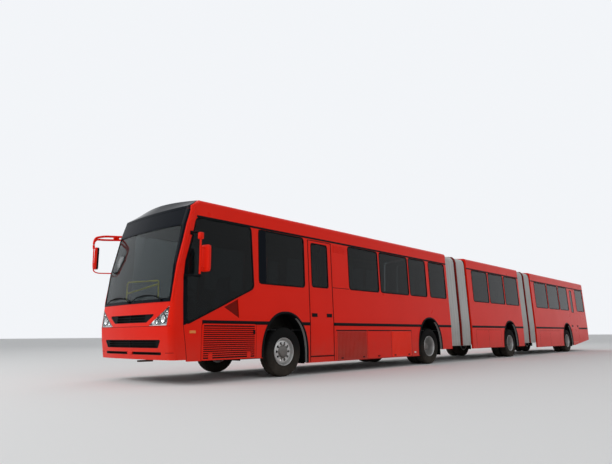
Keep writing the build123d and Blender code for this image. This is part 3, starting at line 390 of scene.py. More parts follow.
def grain_group():
    """Fine surface grain: noise at one scale, with slow patches of tone over it."""
    made, given, out = group("surface grain", {"Scale": 80.0, "Patches": 1.5}, {"Height": 0.0, "Tone": 0.0})
    place = added(made, "TexCoord")
    fine = added(made, "TexNoise", {"Detail": 4})
    slow = added(made, "TexNoise", {"Detail": 3})
    for noise, socket in ((fine, "Scale"), (slow, "Patches")):
        made.links.new(place.outputs["Object"], noise.inputs["Vector"])
        made.links.new(given.outputs[socket], noise.inputs["Scale"])
    made.links.new(fine.outputs["Fac"], out.inputs["Height"])
    made.links.new(slow.outputs["Fac"], out.inputs["Tone"])
    return made


def film_group():
    """Road film: a pale dust that thickens towards the ground, broken up by noise."""
    made, given, out = group(
        "road film",
        {"Color": (0.5, 0.5, 0.5, 1), "Dust": (0.25, 0.2, 0.15, 1), "Top": 0.9, "Amount": 0.4},
        {"Color": (0.0, 0.0, 0.0, 1), "Mask": 0.0},
    )
    place = added(made, "TexCoord")
    split = added(made, "SeparateXYZ")
    noise = added(made, "TexNoise", {"Scale": 5, "Detail": 6})
    made.links.new(place.outputs["Object"], split.inputs[0])
    made.links.new(place.outputs["Object"], noise.inputs["Vector"])
    height = math_node(made, "DIVIDE", split.outputs["Z"], given.outputs["Top"])
    low = math_node(made, "SUBTRACT", 1.0, height, clamp=True)
    patchy = math_node(made, "MULTIPLY", low, math_node(made, "MULTIPLY", noise.outputs["Fac"], 2.0))
    mask = math_node(made, "MULTIPLY", patchy, given.outputs["Amount"], clamp=True)
    made.links.new(mixed(made, mask, given.outputs["Color"], given.outputs["Dust"]), out.inputs["Color"])
    made.links.new(mask, out.inputs["Mask"])
    return made


def inside_group():
    """Inner faces of the shell: one where a face looks towards the bus's long middle line."""
    made, given, out = group("inner face", {"Height": 2.0}, {"Mask": 0.0})
    place = added(made, "TexCoord")
    at = added(made, "SeparateXYZ")
    facing = added(made, "SeparateXYZ")
    made.links.new(place.outputs["Object"], at.inputs[0])
    made.links.new(place.outputs["Normal"], facing.inputs[0])
    sideways = math_node(made, "MULTIPLY", at.outputs["Y"], facing.outputs["Y"])
    above = math_node(made, "SUBTRACT", at.outputs["Z"], given.outputs["Height"])
    upward = math_node(made, "MULTIPLY", above, facing.outputs["Z"])
    towards = math_node(made, "ADD", sideways, upward)
    made.links.new(math_node(made, "LESS_THAN", towards, -0.3), out.inputs["Mask"])
    return made


ROAD_DUST = (0.20, 0.165, 0.13, 1)
GRAIN = grain_group()
FILM = film_group()
INSIDE = inside_group()


def placed(tree, made, **values):
    """Node group set into a material, with its values."""
    node = tree.nodes.new("ShaderNodeGroup")
    node.node_tree = made
    set_inputs(node, values)
    return node


def new_material(name):
    """New material with its shader."""
    made = bpy.data.materials.new(name)
    made.use_nodes = True
    return made, made.node_tree.nodes["Principled BSDF"]


def finish(
    name, colour, rough, metal=0.0, grain=80.0, bump=0.1, depth=0.001, tone=0.12, film=0.0, film_top=0.9,
    dust=ROAD_DUST, coat=0.0, clear=0.0, ior=1.45, inner=None, sheen=0.0, shine=0.5,
):
    """Finish with grain, slow patches of tone, and road film where it has some.

    inner is the colour of the faces that look into the bus, where that differs.
    """
    made, shader = new_material(name)
    tree = made.node_tree
    constants = {"Metallic": metal, "Coat Weight": coat, "Coat Roughness": 0.05, "Transmission Weight": clear}
    constants |= {"IOR": ior, "Sheen Weight": sheen, "Specular IOR Level": shine}
    set_inputs(shader, constants)
    surface = placed(tree, GRAIN, Scale=grain, Patches=1.3)
    plain = (*colour, 1)
    darker = (*[c * (1 - tone) for c in colour], 1)
    shown = mixed(tree, surface.outputs["Tone"], plain, darker)
    rougher = math_node(tree, "MULTIPLY", surface.outputs["Tone"], 0.12)
    roughness = math_node(tree, "ADD", rougher, rough - 0.06, clamp=True)
    if inner:
        mask = placed(tree, INSIDE).outputs["Mask"]
        shown = mixed(tree, mask, shown, (*inner, 1))
        roughness = math_node(tree, "ADD", roughness, math_node(tree, "MULTIPLY", mask, 0.25), clamp=True)
    if film:
        dusty = placed(tree, FILM, Dust=dust, Top=film_top, Amount=film)
        tree.links.new(shown, dusty.inputs["Color"])
        shown = dusty.outputs["Color"]
        duller = math_node(tree, "MULTIPLY", dusty.outputs["Mask"], 0.5)
        roughness = math_node(tree, "ADD", roughness, duller, clamp=True)
    tree.links.new(shown, shader.inputs["Base Color"])
    tree.links.new(roughness, shader.inputs["Roughness"])
    if bump:
        relief = added(tree, "Bump", {"Strength": bump, "Distance": depth})
        tree.links.new(surface.outputs["Height"], relief.inputs["Height"])
        tree.links.new(relief.outputs["Normal"], shader.inputs["Normal"])
    return made


PANEL_GREY = (0.11, 0.11, 0.108)
BODY_RED = (0.86, 0.014, 0.002)
PAINT = {"grain": 45, "bump": 0.04}
BODY_PAINT = {**PAINT, "tone": 0.10, "coat": 0.03, "shine": 0.12}
GLASS = {"bump": 0.0, "ior": 1.22, "grain": 3}
SCREEN_GREY = (0.40, 0.45, 0.46)
red_paint = finish("red body paint", BODY_RED, 0.30, film=0.20, inner=PANEL_GREY, **BODY_PAINT)
trim_red = finish("red trim paint", BODY_RED, 0.32, film=0.15, **BODY_PAINT)
dull_red = finish("dull red paint", (0.50, 0.016, 0.004), 0.45, grain=45, bump=0.06, film=0.20, shine=0.3)
# Dark red: the bellows hoops, and painted shade in the pocket on the left wall
dark_red_and_painted_shade = finish("dark red paint and painted shade", (0.20, 0.006, 0.002), 0.45, shine=0.08, **PAINT)
# Brighter red: painted light on the last of the bay lids
painted_light_red = finish("red paint with painted light", (1.0, 0.035, 0.012), 0.36, film=0.08, shine=0.15, **PAINT)
tinted_glass = finish("tinted glass", (0.045, 0.056, 0.058), 0.04, tone=0.05, clear=0.94, shine=0.22, **GLASS)
screen_glass = finish("windscreen glass", SCREEN_GREY, 0.04, tone=0.04, clear=0.97, shine=0.25, **GLASS)
black_glass = finish("black painted glass", (0.003, 0.005, 0.009), 0.14, grain=6, bump=0.0, shine=0.05)
lamp_glass = finish(
    "clear lamp glass", (0.93, 0.95, 0.95), 0.03, grain=6, bump=0.0, tone=0.02, clear=1.0, ior=1.18
)
reflector = finish("bright reflector", (0.80, 0.81, 0.82), 0.26, metal=1.0, grain=30, bump=0.0)
amber = finish("amber lens", (0.85, 0.22, 0.01), 0.18, grain=140, bump=0.3, coat=0.6)
red_lens = finish("red lens", (0.42, 0.006, 0.006), 0.16, grain=140, bump=0.3, coat=0.6)
black_trim = finish(
    "black moulding", (0.006, 0.007, 0.008), 0.50, grain=260, bump=0.18, tone=0.25, film=0.03, shine=0.06
)
rubber = finish("window rubber", (0.004, 0.006, 0.006), 0.55, grain=180, bump=0.12, tone=0.2, shine=0.05)
tyre_rubber = finish(
    "tyre rubber", (0.012, 0.012, 0.012), 0.78, grain=120, bump=0.35, tone=0.35, film=0.22, film_top=0.75,
    shine=0.06,
)
rim_silver = finish(
    "silver wheel paint", (0.62, 0.62, 0.61), 0.32, metal=0.75, grain=70, bump=0.08, tone=0.25, film=0.30,
    film_top=1.1, dust=(0.10, 0.085, 0.07, 1),
)
steel = finish("plain steel", (0.30, 0.30, 0.30), 0.38, metal=1.0, grain=150, bump=0.08, tone=0.2)
hub_steel = finish(
    "hub steel", (0.17, 0.165, 0.16), 0.42, metal=0.7, grain=110, bump=0.2, tone=0.3, film=0.30, film_top=1.1
)
liner_grey = finish("arch liner", (0.34, 0.34, 0.33), 0.7, grain=120, bump=0.2, film=0.25, shine=0.2)
pale_lens = finish("pale lens", (0.80, 0.80, 0.77), 0.2, grain=140, bump=0.2, coat=0.5)
chassis = finish(
    "chassis paint", (0.020, 0.020, 0.022), 0.62, grain=60, bump=0.25, tone=0.35, film=0.6, film_top=1.5
)
iron = finish(
    "cast iron", (0.045, 0.042, 0.040), 0.65, metal=0.5, grain=90, bump=0.45, tone=0.35, film=0.5,
    film_top=1.4,
)
cloth_grey = finish(
    "bellows cloth", (0.60, 0.60, 0.585), 0.82, grain=420, bump=0.5, depth=0.0006, tone=0.16, film=0.35,
    film_top=1.6, sheen=0.25,
)
seat_shell = finish("seat moulding", (0.055, 0.085, 0.16), 0.42, grain=320, bump=0.15, tone=0.2)
dash_grey = finish("dashboard moulding", (0.055, 0.055, 0.058), 0.6, grain=380, bump=0.35, tone=0.2)
yellow_rail = finish("yellow handrail", (0.95, 0.78, 0.010), 0.36, grain=90, bump=0.04, coat=0.2)
mirror_glass = finish("mirror glass", (0.90, 0.91, 0.92), 0.07, metal=1.0, grain=4, bump=0.0, tone=0.02)
floor_grey = finish("floor covering", (0.12, 0.12, 0.125), 0.55, grain=520, bump=0.25, tone=0.25)

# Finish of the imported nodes, by parts of their names
NODE_FINISH = (
    (red_paint, ("_sides", "_roof", "_mask", "_bumper", "_wall", "door_")),
    (screen_glass, ("windscreen",)),
    (tinted_glass, ("_glass",)),
    (lamp_glass, ("headlamps",)),
    (red_lens, ("tail_lamps",)),
    (black_trim, ("grilles",)),
    (trim_red, ("mirrors",)),
    (chassis, ("_floor",)),
    (iron, ("_axle", "knuckle", "engine_block")),
    (tyre_rubber, ("tyre_",)),
    (rim_silver, ("rim_",)),
    (cloth_grey, ("bellows",)),
    (dash_grey, ("driver_console",)),
    (seat_shell, ("_seats",)),
)


def dressed(node, *finishes):
    """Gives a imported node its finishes."""
    node.data.materials.clear()
    for made in finishes:
        node.data.materials.append(made)


for name, node in nodes.items():
    for made, parts in NODE_FINISH:
        if any(part in name for part in parts):
            dressed(node, made)


def face_corners(node):
    """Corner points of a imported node's triangles."""
    mesh = node.data
    points = np.zeros(len(mesh.vertices) * 3)
    mesh.vertices.foreach_get("co", points)
    points = points.reshape(-1, 3)
    corners = np.zeros(len(mesh.polygons) * 3, int)
    mesh.polygons.foreach_get("vertices", corners)
    return points[corners].reshape(-1, 3, 3)


def two_tone(name, first, second, chosen):
    """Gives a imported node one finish, and the chosen of its faces another."""
    node = nodes[name]
    dressed(node, first, second)
    node.data.polygons.foreach_set("material_index", chosen.astype(np.int32))


def wall_depth(corners):
    """Depth of points inside the outer face of the side wall."""
    return half_width(corners[..., 2]) - np.abs(corners[..., 1])


# Panes of the doors: found by their depth in the leaf. Each pane's place, for its rubber, is
# that of its large faces, because a few small ones of the hinges lie at the same depth.
LEAF_SUNK = 0.024
PANE_DEPTHS = (0.0055, 0.0145)
LARGE_FACE = 0.005
DOOR_PANES = {}
for name in nodes:
    if name.startswith(("door_", "service_door")):
        sunk = LEAF_SUNK if name.startswith("door_") else 0.0
        corners = face_corners(nodes[name])
        depth = wall_depth(corners)
        pane = ((depth > sunk + PANE_DEPTHS[0]) & (depth < sunk + PANE_DEPTHS[1])).all(1)
        two_tone(name, red_paint, tinted_glass, pane)
        size = np.linalg.norm(np.cross(corners[:, 1] - corners[:, 0], corners[:, 2] - corners[:, 0]), axis=1)
        large = corners[pane & (size > LARGE_FACE)]
        low, high = large.min((0, 1)), large.max((0, 1))
        DOOR_PANES[name] = (low[0], high[0], low[2], high[2], 1 if low[1] > 0 else -1, sunk)

# The slatted side grilles are red, the front ones black, and the pocket in the left wall is darker: its faces
# take the dark red as painted shade
SIDE_GRILLE_X = 12
POCKET_DEPTH = 0.014
POCKET_REAR, POCKET_FRONT, POCKET_TOP = 10.85, 11.4, 1.6
two_tone("grilles", black_trim, trim_red, face_corners(nodes["grilles"])[..., 0].max(1) < SIDE_GRILLE_X)
corners = face_corners(nodes["front_sides"])
sunk = (np.abs(wall_depth(corners) - POCKET_DEPTH) < 0.0012) & (corners[..., 1] > 0)
sunk &= (corners[..., 0] > POCKET_REAR) & (corners[..., 0] < POCKET_FRONT) & (corners[..., 2] < POCKET_TOP)
two_tone("front_sides", red_paint, dark_red_and_painted_shade, sunk.all(1))


FOLD_LIMIT = 28.0


def smoothed(node):
    """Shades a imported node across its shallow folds.

    Each corner's normal is the sum of the normals of the faces that meet at its place and
    lie within a limit of degrees of its own face, weighted by their areas.
    """
    mesh = node.data
    triangles = face_corners(node)
    cross = np.cross(triangles[:, 1] - triangles[:, 0], triangles[:, 2] - triangles[:, 0])
    area = np.linalg.norm(cross, axis=1, keepdims=True)
    unit = cross / np.maximum(area, 1e-12)
    place = np.round(triangles.reshape(-1, 3) * 2e4).astype(np.int64)
    _, spot = np.unique(place, axis=0, return_inverse=True)
    spot = spot.ravel()
    face = np.repeat(np.arange(len(triangles)), 3)
    order = np.argsort(spot, kind="stable")
    limit = math.cos(math.radians(FOLD_LIMIT))
    normals = np.zeros((len(face), 3))
    for run in np.split(order, np.flatnonzero(np.diff(spot[order])) + 1):
        here = unit[face[run]]
        near = (here @ here.T) > limit
        normals[run] = near @ cross[face[run]]
    normals /= np.maximum(np.linalg.norm(normals, axis=1, keepdims=True), 1e-12)
    mesh.normals_split_custom_set(normals.tolist())


for name in ("front_mask", "front_bumper", "windscreen", "front_roof"):
    smoothed(nodes[name])

# Bellows: cloth folded across the joint, in two halves with a frame hoop between
BELLOWS = (
    ("bellows_1", "middle_car", "front_car", 0.9, 2.35),
    ("bellows_2", "rear_car", "middle_car", -5.05, -3.65),
)
BELLOWS_FOOT = 0.48
CLOTH = 0.012
FOLDS = 4
FOLD_INSET = 0.035
FOLD_DEPTH = 0.085
END_GAP = 0.004
HOOP_HALF = 0.04
HOOP = np.array(
    ((-0.038, 0.06), (-0.038, 0.022), (-0.028, 0.012), (0.028, 0.012), (0.038, 0.022), (0.038, 0.06))
)


def sleeve_outline():
    """Outline of the sleeve from the left foot over the roof to the right foot, and its outward normals."""
    corner = (half_width(EAVE_Z), EAVE_Z)
    shoulder = (half_width(EAVE_Z) - 0.085, 3.372)
    left = [(HALF, BELLOWS_FOOT), (HALF, WAIST_Z), corner, shoulder]
    crown = [(y, CROWN_Z - CROWN_DROP * (y / CROWN_HALF) ** 2) for y in np.linspace(0.9, -0.9, 9)]
    right = [(-y, z) for y, z in reversed(left)]
    run = unique_run(softened(left + crown + right, 0.07, 6, closed=False))
    length = np.concatenate(([0], np.cumsum(np.linalg.norm(np.diff(run, axis=0), axis=1))))
    even = np.linspace(0, length[-1], 64)
    run = np.stack((np.interp(even, length, run[:, 0]), np.interp(even, length, run[:, 1])), -1)
    return run, across_path(run, False)


def pleat(u):
    """Depth of the pleats: rounded peaks and narrow valleys, one for each fold."""
    return 1 - np.abs(np.cos(np.pi * u * FOLDS)) ** 1.6


def bellows_piece(name, rear_body, front_body, x_low, x_high):
    """Cloth carried along the bus: the outline set in by an inset plus the pleat's depth.

    The wall has the cloth's thickness, so the outline is run out along the outer face and
    back along the inner one.
    """
    shape = Shape()
    run, normal = sleeve_outline()
    normal = np.where((normal * (run - (0, 2))).sum(1, keepdims=True) < 0, -normal, normal)
    middle = (x_low + x_high) / 2
    for low, high in ((x_low + END_GAP, middle - HOOP_HALF), (middle + HOOP_HALF, x_high - END_GAP)):
        u = np.linspace(0, 1, 24 * FOLDS + 1)
        inset = FOLD_INSET + FOLD_DEPTH * (1 - pleat(u))
        outer = run[None] - normal[None] * inset[:, None, None]
        inner = run[None] - normal[None] * (inset + CLOTH)[:, None, None]
        loop = np.concatenate((outer, inner[:, ::-1]), 1)
        x = np.broadcast_to((low + (high - low) * u)[:, None, None], (*loop.shape[:2], 1))
        shape.rod(np.concatenate((x, loop), -1))
    piece = shape.made(name + "_cloth", cloth_grey, None, "bellows_fabric", replaces=(name,), smooth=60)
    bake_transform(piece)
    hoop = Shape()
    ring = run[None] - normal[None] * HOOP[:, None, 1:]
    x = np.broadcast_to((middle + HOOP[:, 0])[:, None, None], (*ring.shape[:2], 1))
    hoop.grid(np.concatenate((x, ring), -1), loop_rows=True)
    band = hoop.made(name + "_hoop", dark_red_and_painted_shade, None, "red_paint")
    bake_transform(band)


for row in BELLOWS:
    bellows_piece(*row)

# Wheels: tyres with ribs and blocks, and pressed discs with hand holes and nuts.
# Name, axle's place, side, twin
WHEEL_ROWS = [
    (f"{row}{letter}", x, side, row > 1)
    for row, x in enumerate(AXLE_X, 1)
    for letter, side in (("l", 1), ("r", -1))
]
TYRE_STEPS = 180
GROOVE = 0.009
# Half of the tyre's section, from its inner bead to near the middle: distance outwards, radius
TYRE_SECTION = (
    (-0.108, 0.287), (-0.122, 0.300), (-0.134, 0.340), (-0.1375, 0.392), (-0.135, 0.436),
    (-0.128, 0.462), (-0.120, 0.484), (-0.108, 0.4965), (-0.096, 0.5005),
    (-0.076, 0.5035), (-0.073, 0.4925), (-0.064, 0.4925), (-0.061, 0.5045),
    (-0.037, 0.506), (-0.034, 0.4945), (-0.025, 0.4945), (-0.022, 0.5065),
)
DISC_SKIN = 0.014
# Rows from a sector's edge to its hole's rim and back inside: share of the way, depth
HOLE_ROWS = ((0, 0), (0.5, 0), (0.85, 0), (1.0, 0.006), (1.0, DISC_SKIN), (0.5, DISC_SKIN), (0, DISC_SKIN))
# Wheels: sections of the barrel and the hub as distance outwards and radius, the disc's place,
# radii, holes and their half sizes, and each ring of nuts as place, radius, count, size and height
RIM_LIP = ((0.115, 0.2855), (0.119, 0.281), (0.115, 0.272), (0.095, 0.264), (0.060, 0.258))
TWIN_WHEEL = (
    (
        *RIM_LIP, (-0.02, 0.248), (-0.09, 0.238), (-0.128, 0.222), (-0.136, 0.205), (-0.144, 0.222),
        (-0.16, 0.245), (0.1 - TWIN_SPACING, 0.262), (-TWIN_SPACING - 0.115, 0.272),
        (-TWIN_SPACING - 0.115, 0.2855),
    ),
    (
        (-0.18, 0.06), (-0.18, 0.14), (-0.125, 0.14), (-0.118, 0.132), (-0.02, 0.118), (0.0, 0.108),
        (0.008, 0.09), (0.010, 0.05), (0.010, 0.001),
    ),
    (-0.131, 0.134, 0.214, 8, (0.026, 0.030)),
    ((-0.118, 0.1555, 10, 0.017, 0.026), (0.001, 0.092, 12, 0.008, 0.009)),
)
SINGLE_WHEEL = (
    (
        *RIM_LIP, (0.05, 0.252), (0.068, 0.236), (0.076, 0.216), (0.062, 0.213), (0.045, 0.236),
        (0.0, 0.252), (-0.1, 0.265), (-0.115, 0.272), (-0.115, 0.2855),
    ),
    (
        (0.0, 0.06), (0.0, 0.14), (0.076, 0.14), (0.078, 0.126), (0.084, 0.118), (0.098, 0.108),
        (0.104, 0.09), (0.1045, 0.05), (0.105, 0.001),
    ),
    (0.0755, 0.138, 0.2165, 10, (0.022, 0.025)),
    ((0.0745, 0.1555, 10, 0.017, 0.02),),
)


def tyre_grid(place, side):
    """Tyre section turned about the axle, its shoulder cut by short cross grooves."""
    half = np.array(TYRE_SECTION)
    section = np.concatenate((half, half[::-1] * (-1, 1)))
    ring = turned(section, place, side, TYRE_STEPS)
    radius = section[:, 1][:, None]
    shoulder = (np.abs(section[:, 0]) > 0.075) & (section[:, 1] > 0.48)
    notch = (np.arange(TYRE_STEPS) % 4 == 0)[None] & shoulder[:, None]
    shrink = np.where(notch, 1 - GROOVE / radius, 1.0)[..., None]
    centre = np.array(place)
    out = ring - centre
    out[..., [0, 2]] *= shrink
    return out + centre


def nut_points(place, side, out, ring, count, size, height):
    """Six-sided nuts in a ring: prisms with a smaller top ring for the chamfer."""
    six = circle(6)
    # Share of the height, share of the size
    levels = np.array(((0, 1.0), (0.75, 1.0), (1.0, 0.8), (1.0, 0.35), (1.5, 0.33), (1.5, 0.01)))
    grids = []
    for a in circle(count):
        cx, cz = place[0] + ring * math.cos(a), place[2] + ring * math.sin(a)
        x = cx + size * levels[:, None, 1] * np.cos(six + a)[None]
        z = cz + size * levels[:, None, 1] * np.sin(six + a)[None]
        y = place[1] + side * (out + height * levels[:, None, 0]) + 0 * x
        grids.append(np.stack((x, y, z), -1))
    return grids


def holed_disc(place, side, out, inner, outer, holes, hole):
    """Disc with round hand holes: each sector is blended from its own edge to its hole's rim."""
    grids = []
    step = 2 * np.pi / holes
    middle = (inner + outer) / 2
    c, s = np.cos(circle(48)), np.sin(circle(48))
    reach = 1 / np.maximum(np.abs(c), np.abs(s))
    edge_angle = s * reach * step / 2
    edge_radius = middle + c * reach * (outer - inner) / 2
    for sector in range(holes):
        a = sector * step + edge_angle
        edge = np.stack((edge_radius * np.cos(a), edge_radius * np.sin(a)), -1)
        outward = np.array((math.cos(sector * step), math.sin(sector * step)))
        across = np.array((-outward[1], outward[0]))
        rim = middle * outward + hole[0] * c[:, None] * outward + hole[1] * s[:, None] * across
        rows = []
        for t, depth in HOLE_ROWS:
            flat = (1 - t) * edge + t * rim
            y = place[1] + side * (out - depth) + 0 * flat[:, 0]
            rows.append(np.stack((place[0] + flat[:, 0], y, place[2] + flat[:, 1]), -1))
        grids.append(np.stack(rows))
    return grids


for name, x, side, twin in WHEEL_ROWS:
    body = f"wheel_{name}"
    outer_place = (x, side * WHEEL_Y, TYRE_RADIUS)
    inner_place = (x, side * (WHEEL_Y - TWIN_SPACING), TYRE_RADIUS)
    tyre = Shape()
    for place in (outer_place, inner_place) if twin else (outer_place,):
        tyre.band(tyre_grid(place, side))
    tyre.made(f"tyre_{name}_tread", tyre_rubber, body, "tyre_rubber", replaces=(f"tyre_{name}",), smooth=32)
    rim, hubs = Shape(), Shape()
    barrel, hub, disc, nut_rings = TWIN_WHEEL if twin else SINGLE_WHEEL
    rim.band(turned(barrel, outer_place, side))
    for sector in holed_disc(outer_place, side, *disc):
        rim.grid(sector, loop_cols=True)
    hubs.grid(turned(hub, outer_place, side, 48), loop_cols=True)
    for ring in nut_rings:
        for nut in nut_points(outer_place, side, *ring):
            hubs.grid(nut, loop_cols=True)
    rim.made(f"rim_{name}_disc", rim_silver, body, "rim_silver", replaces=(f"rim_{name}",), smooth=35)
    hubs.made(f"rim_{name}_hub", hub_steel, body, "rim_silver", smooth=35)

# Windows: start and end behind the datum and foot height, for each car and side
WINDOWS = {
    ("front", 1): (
        (-0.75, 0.62, 1.88), (2.23, 3.5, 1.93), (3.58, 4.97, 1.93), (5.04, 5.98, 1.93), (6.17, 7.16, 1.93),
    ),
    ("front", -1): (
        (-2.2, -0.48, 1.6), (-0.32, 0.92, 1.93), (2.48, 3.88, 1.93), (5.33, 6.15, 1.93), (6.23, 7.16, 1.93),
    ),
    ("middle", 1): ((0.35, 1.6, 1.93), (1.7, 3.0, 1.93), (3.1, 4.4, 1.93)),
    ("middle", -1): ((0.18, 0.66, 1.93), (2.12, 3.22, 1.93), (3.3, 4.4, 1.93)),
    ("rear", 1): ((0.37, 1.85, 1.93), (1.95, 3.4, 1.93), (3.5, 4.78, 1.93), (6.05, 7.28, 1.93)),
    ("rear", -1): ((0.18, 0.83, 1.93), (2.3, 3.7, 1.93), (3.78, 5.28, 1.93)),
}
DRIVER_WINDOW = (
    (-2.5, 1.04), (-1.68, 1.41), (-1.3, 1.59), (-0.9, 1.77), (-0.96, 3.01), (-2.29, 3.01), (-2.49, 2.13),
)
WINDOW_CORNER = 0.085
RUBBER = ((-0.017, -0.006), (-0.017, 0.0045), (-0.006, 0.0075), (0.008, 0.0055), (0.013, -0.006))
PANE_RUBBER = ((-0.014, -0.003), (-0.014, 0.0015), (0.0, 0.0035), (0.016, 0.0015), (0.016, -0.003))
PANE_LAP = 0.004
BELT = ((-0.035, -0.004), (-0.035, 0.004), (-0.025, 0.009), (0.025, 0.009), (0.035, 0.004), (0.035, -0.004))

for car, body in BODY.items():
    rubbers = Shape()
    for side in (1, -1):
        for start, end, foot in WINDOWS[car, side]:
            outline = softened(car_box(car, start, end, foot, WINDOW_TOP), WINDOW_CORNER)
            rubbers.band(side_trim(outline, RUBBER, side))
    if car == "front":
        outline = [(DATUM[car] - back, z) for back, z in DRIVER_WINDOW]
        rubbers.band(side_trim(softened(outline, WINDOW_CORNER), RUBBER, 1))
    rubbers.made(f"{car}_window_rubbers", rubber, body, "black_plastic")

# Rubbers round the doors' panes, which ride on the leaves
for name, (x_low, x_high, foot, head, side, sunk) in DOOR_PANES.items():
    pane = Shape()
    outline = box_outline(x_low - PANE_LAP, x_high + PANE_LAP, foot - PANE_LAP, head + PANE_LAP)
    pane.band(side_trim(softened(outline, 0.06), np.array(PANE_RUBBER) - (0, sunk), side))
    leaf = name.replace("door_", "leaf_" if name.startswith("service") else "door_leaf_")
    pane.made(f"{name}_rubber", rubber, leaf, "black_plastic")

# Black border ahead of the driver's window: height, rear edge, front edge
BORDER = np.array(
    (
        (1.03, 12.17, 12.204), (1.10, 12.06, 12.206), (1.14, 12.13, 12.208), (1.44, 12.13, 12.216),
        (1.86, 12.13, 12.216), (2.16, 12.125, 12.184), (2.41, 12.068, 12.113), (2.63, 12.018, 12.052),
        (2.85, 11.968, 11.980),
    )
)
height = np.linspace(BORDER[0, 0], BORDER[-1, 0], 60)[:, None]
back_x, front_x = (np.interp(height, BORDER[:, 0], BORDER[:, k]) for k in (1, 2))
across = back_x + (front_x - back_x) * np.array((0, 0.5, 1, 1, 0.5, 0))[None]
off = np.array((0.004, 0.004, 0.004, 0.0, 0.0, 0.0))[None]
border = Shape()
border.rod(on_wall(across, height + 0 * across, 1, off))
border.made("driver_window_border", black_glass, "front_car", "tinted_glass", smooth=30)

# Belt strips, by their ends behind the datum for each car and side, and the drip line under the roof
BELT_Z = 1.085
BELTS = {
    ("front", 1): ((-2.15, -0.49), (0.49, 0.75), (1.58, 5.51), (6.49, 7.29)),
    ("front", -1): ((-2.15, -0.49), (0.49, 1.12), (2.28, 4.02), (5.18, 5.51), (6.49, 7.29)),
    ("middle", 1): ((0.02, 2.76), (3.74, 4.53)),
    ("middle", -1): ((0.02, 0.81), (1.97, 2.76), (3.74, 4.53)),
    ("rear", 1): ((0.02, 3.66), (5.95, 7.43)),
    ("rear", -1): ((0.02, 0.99), (2.15, 3.66), (4.64, 5.8), (6.96, 7.43)),
}
DRIP = ((-0.022, -0.003), (-0.022, 0.003), (0.0, 0.007), (0.022, 0.003), (0.022, -0.003))
DRIP_Z = 3.035
for car, body in BODY.items():
    strips = Shape()
    for side in (1, -1):
        for start, end in BELTS[car, side]:
            line = level_line(DATUM[car] - np.linspace(start, end, 3), BELT_Z)
            strips.rod(side_trim(line, BELT, side, closed=False))
    for side in (1, -1):
        low, high = CAR_ENDS[car]
        line = level_line(np.linspace(low + 0.005, min(high, NOSE_X - 0.59), 3), DRIP_Z)
        strips.rod(side_trim(line, DRIP, side, closed=False))
    strips.made(f"{car}_belt_strips", black_trim, body, "black_plastic")

# Wheel arches: red corners that round the openings off, lips and liners
ARCH_HALF = 0.66
ARCH_LEVEL = 0.45
ARCH_RISE = 0.85
ARCH_ROUND = 2.2
LINER_SKIN = 0.004
CORNER_SQUARE = 7.0
CORNER_LAP = 0.03
LIP = ((0.012, -0.005), (0.012, 0.010), (0.0, 0.016), (-0.020, 0.014), (-0.034, 0.006), (-0.034, -0.005))
# Feet of each arch: front, rear
ARCH_FOOT = {9.65: (0.40, 0.25), 3.65: (0.25, 0.40), -2.35: (0.37, 0.37), -9.2: (0.29, 0.29)}


def arch_curve(axle, grow, power, turn):
    """Superellipse round an axle's arch, at angles counted up from its front.

    At an angle the radius is the sum of the powers of cosine over half width and sine
    over height, raised to minus one over the power.
    """
    c, s = np.cos(turn), np.sin(turn)
    sum_of_powers = np.abs(c / (ARCH_HALF + grow)) ** power + np.abs(s / (ARCH_RISE + grow)) ** power
    radius = sum_of_powers ** (-1 / power)
    return np.stack((axle + radius * c, ARCH_LEVEL + radius * s), -1)


def arch_path(axle, grow=0.0):
    """Edge of an arch from its rear foot over the top to its front foot."""
    front_foot, rear_foot = ARCH_FOOT[axle]
    over = arch_curve(axle, grow, ARCH_ROUND, np.linspace(np.pi, 0, 61))
    rear = (axle - ARCH_HALF - grow, rear_foot + 0.01)
    front = (axle + ARCH_HALF + grow, front_foot + 0.01)
    return np.concatenate(((rear,), over, (front,)))


def arch_strip(axle, side, gap, width, rows=None):
    """Strip inside an arch: its edge at two distances inwards, from the wall in by a width.

    rows is how far it runs from the rear foot, or all the way round.
    """
    outer, inner = arch_path(axle, -gap)[:rows], arch_path(axle, -gap - LINER_SKIN)[:rows]
    wall = half_width(outer[:, 1]) - 0.008
    loop = [(outer, wall), (outer, wall - width), (inner, wall - width), (inner, wall)]
    return np.stack([np.stack((flat[:, 0], side * y, flat[:, 1]), -1) for flat, y in loop], 1)


for car, axles in (("front", AXLE_X[:2]), ("middle", AXLE_X[2:3]), ("rear", AXLE_X[3:])):
    lips, corners, liners, strips = Shape(), Shape(), Shape(), Shape()
    for axle in axles:
        for side in (1, -1):
            lips.rod(side_trim(arch_path(axle), LIP, side, closed=False))
            turn = np.linspace(0.0, np.pi, 73)
            inner = arch_curve(axle, -0.002, ARCH_ROUND, turn)
            outer = arch_curve(axle, CORNER_LAP, CORNER_SQUARE, turn)
            middle = 0.35 * inner + 0.65 * outer
            loop = ((inner, -0.008), (inner, 0.0015), (middle, 0.0015), (outer, -0.001), (outer, -0.008))
            corners.rod(np.stack([on_wall(*flat.T, side, proud) for flat, proud in loop], 1))
            liners.rod(arch_strip(axle, side, 0.004, 0.30))
            strips.rod(arch_strip(axle, side, 0.009, 0.055, rows=24))
    lips.made(f"{car}_arch_lips", black_trim, BODY[car], "black_plastic")
    corners.made(f"{car}_arch_corners", trim_red, BODY[car], "red_paint", smooth=30)
    liners.made(f"{car}_arch_liners", black_trim, BODY[car], "black_plastic")
    strips.made(f"{car}_arch_edges", liner_grey, BODY[car], "black_plastic")

# Front: black glass round the screen and up over the brow, with the screen's rubber
SCREEN = ((1.49, 1.17), (2.85, 1.12))
SHEET_SKIN = 0.004
GLASS_FOOT, SCREEN_FOOT, SCREEN_HEAD, BROW_FOOT = 1.434, 1.492, 2.848, 3.172
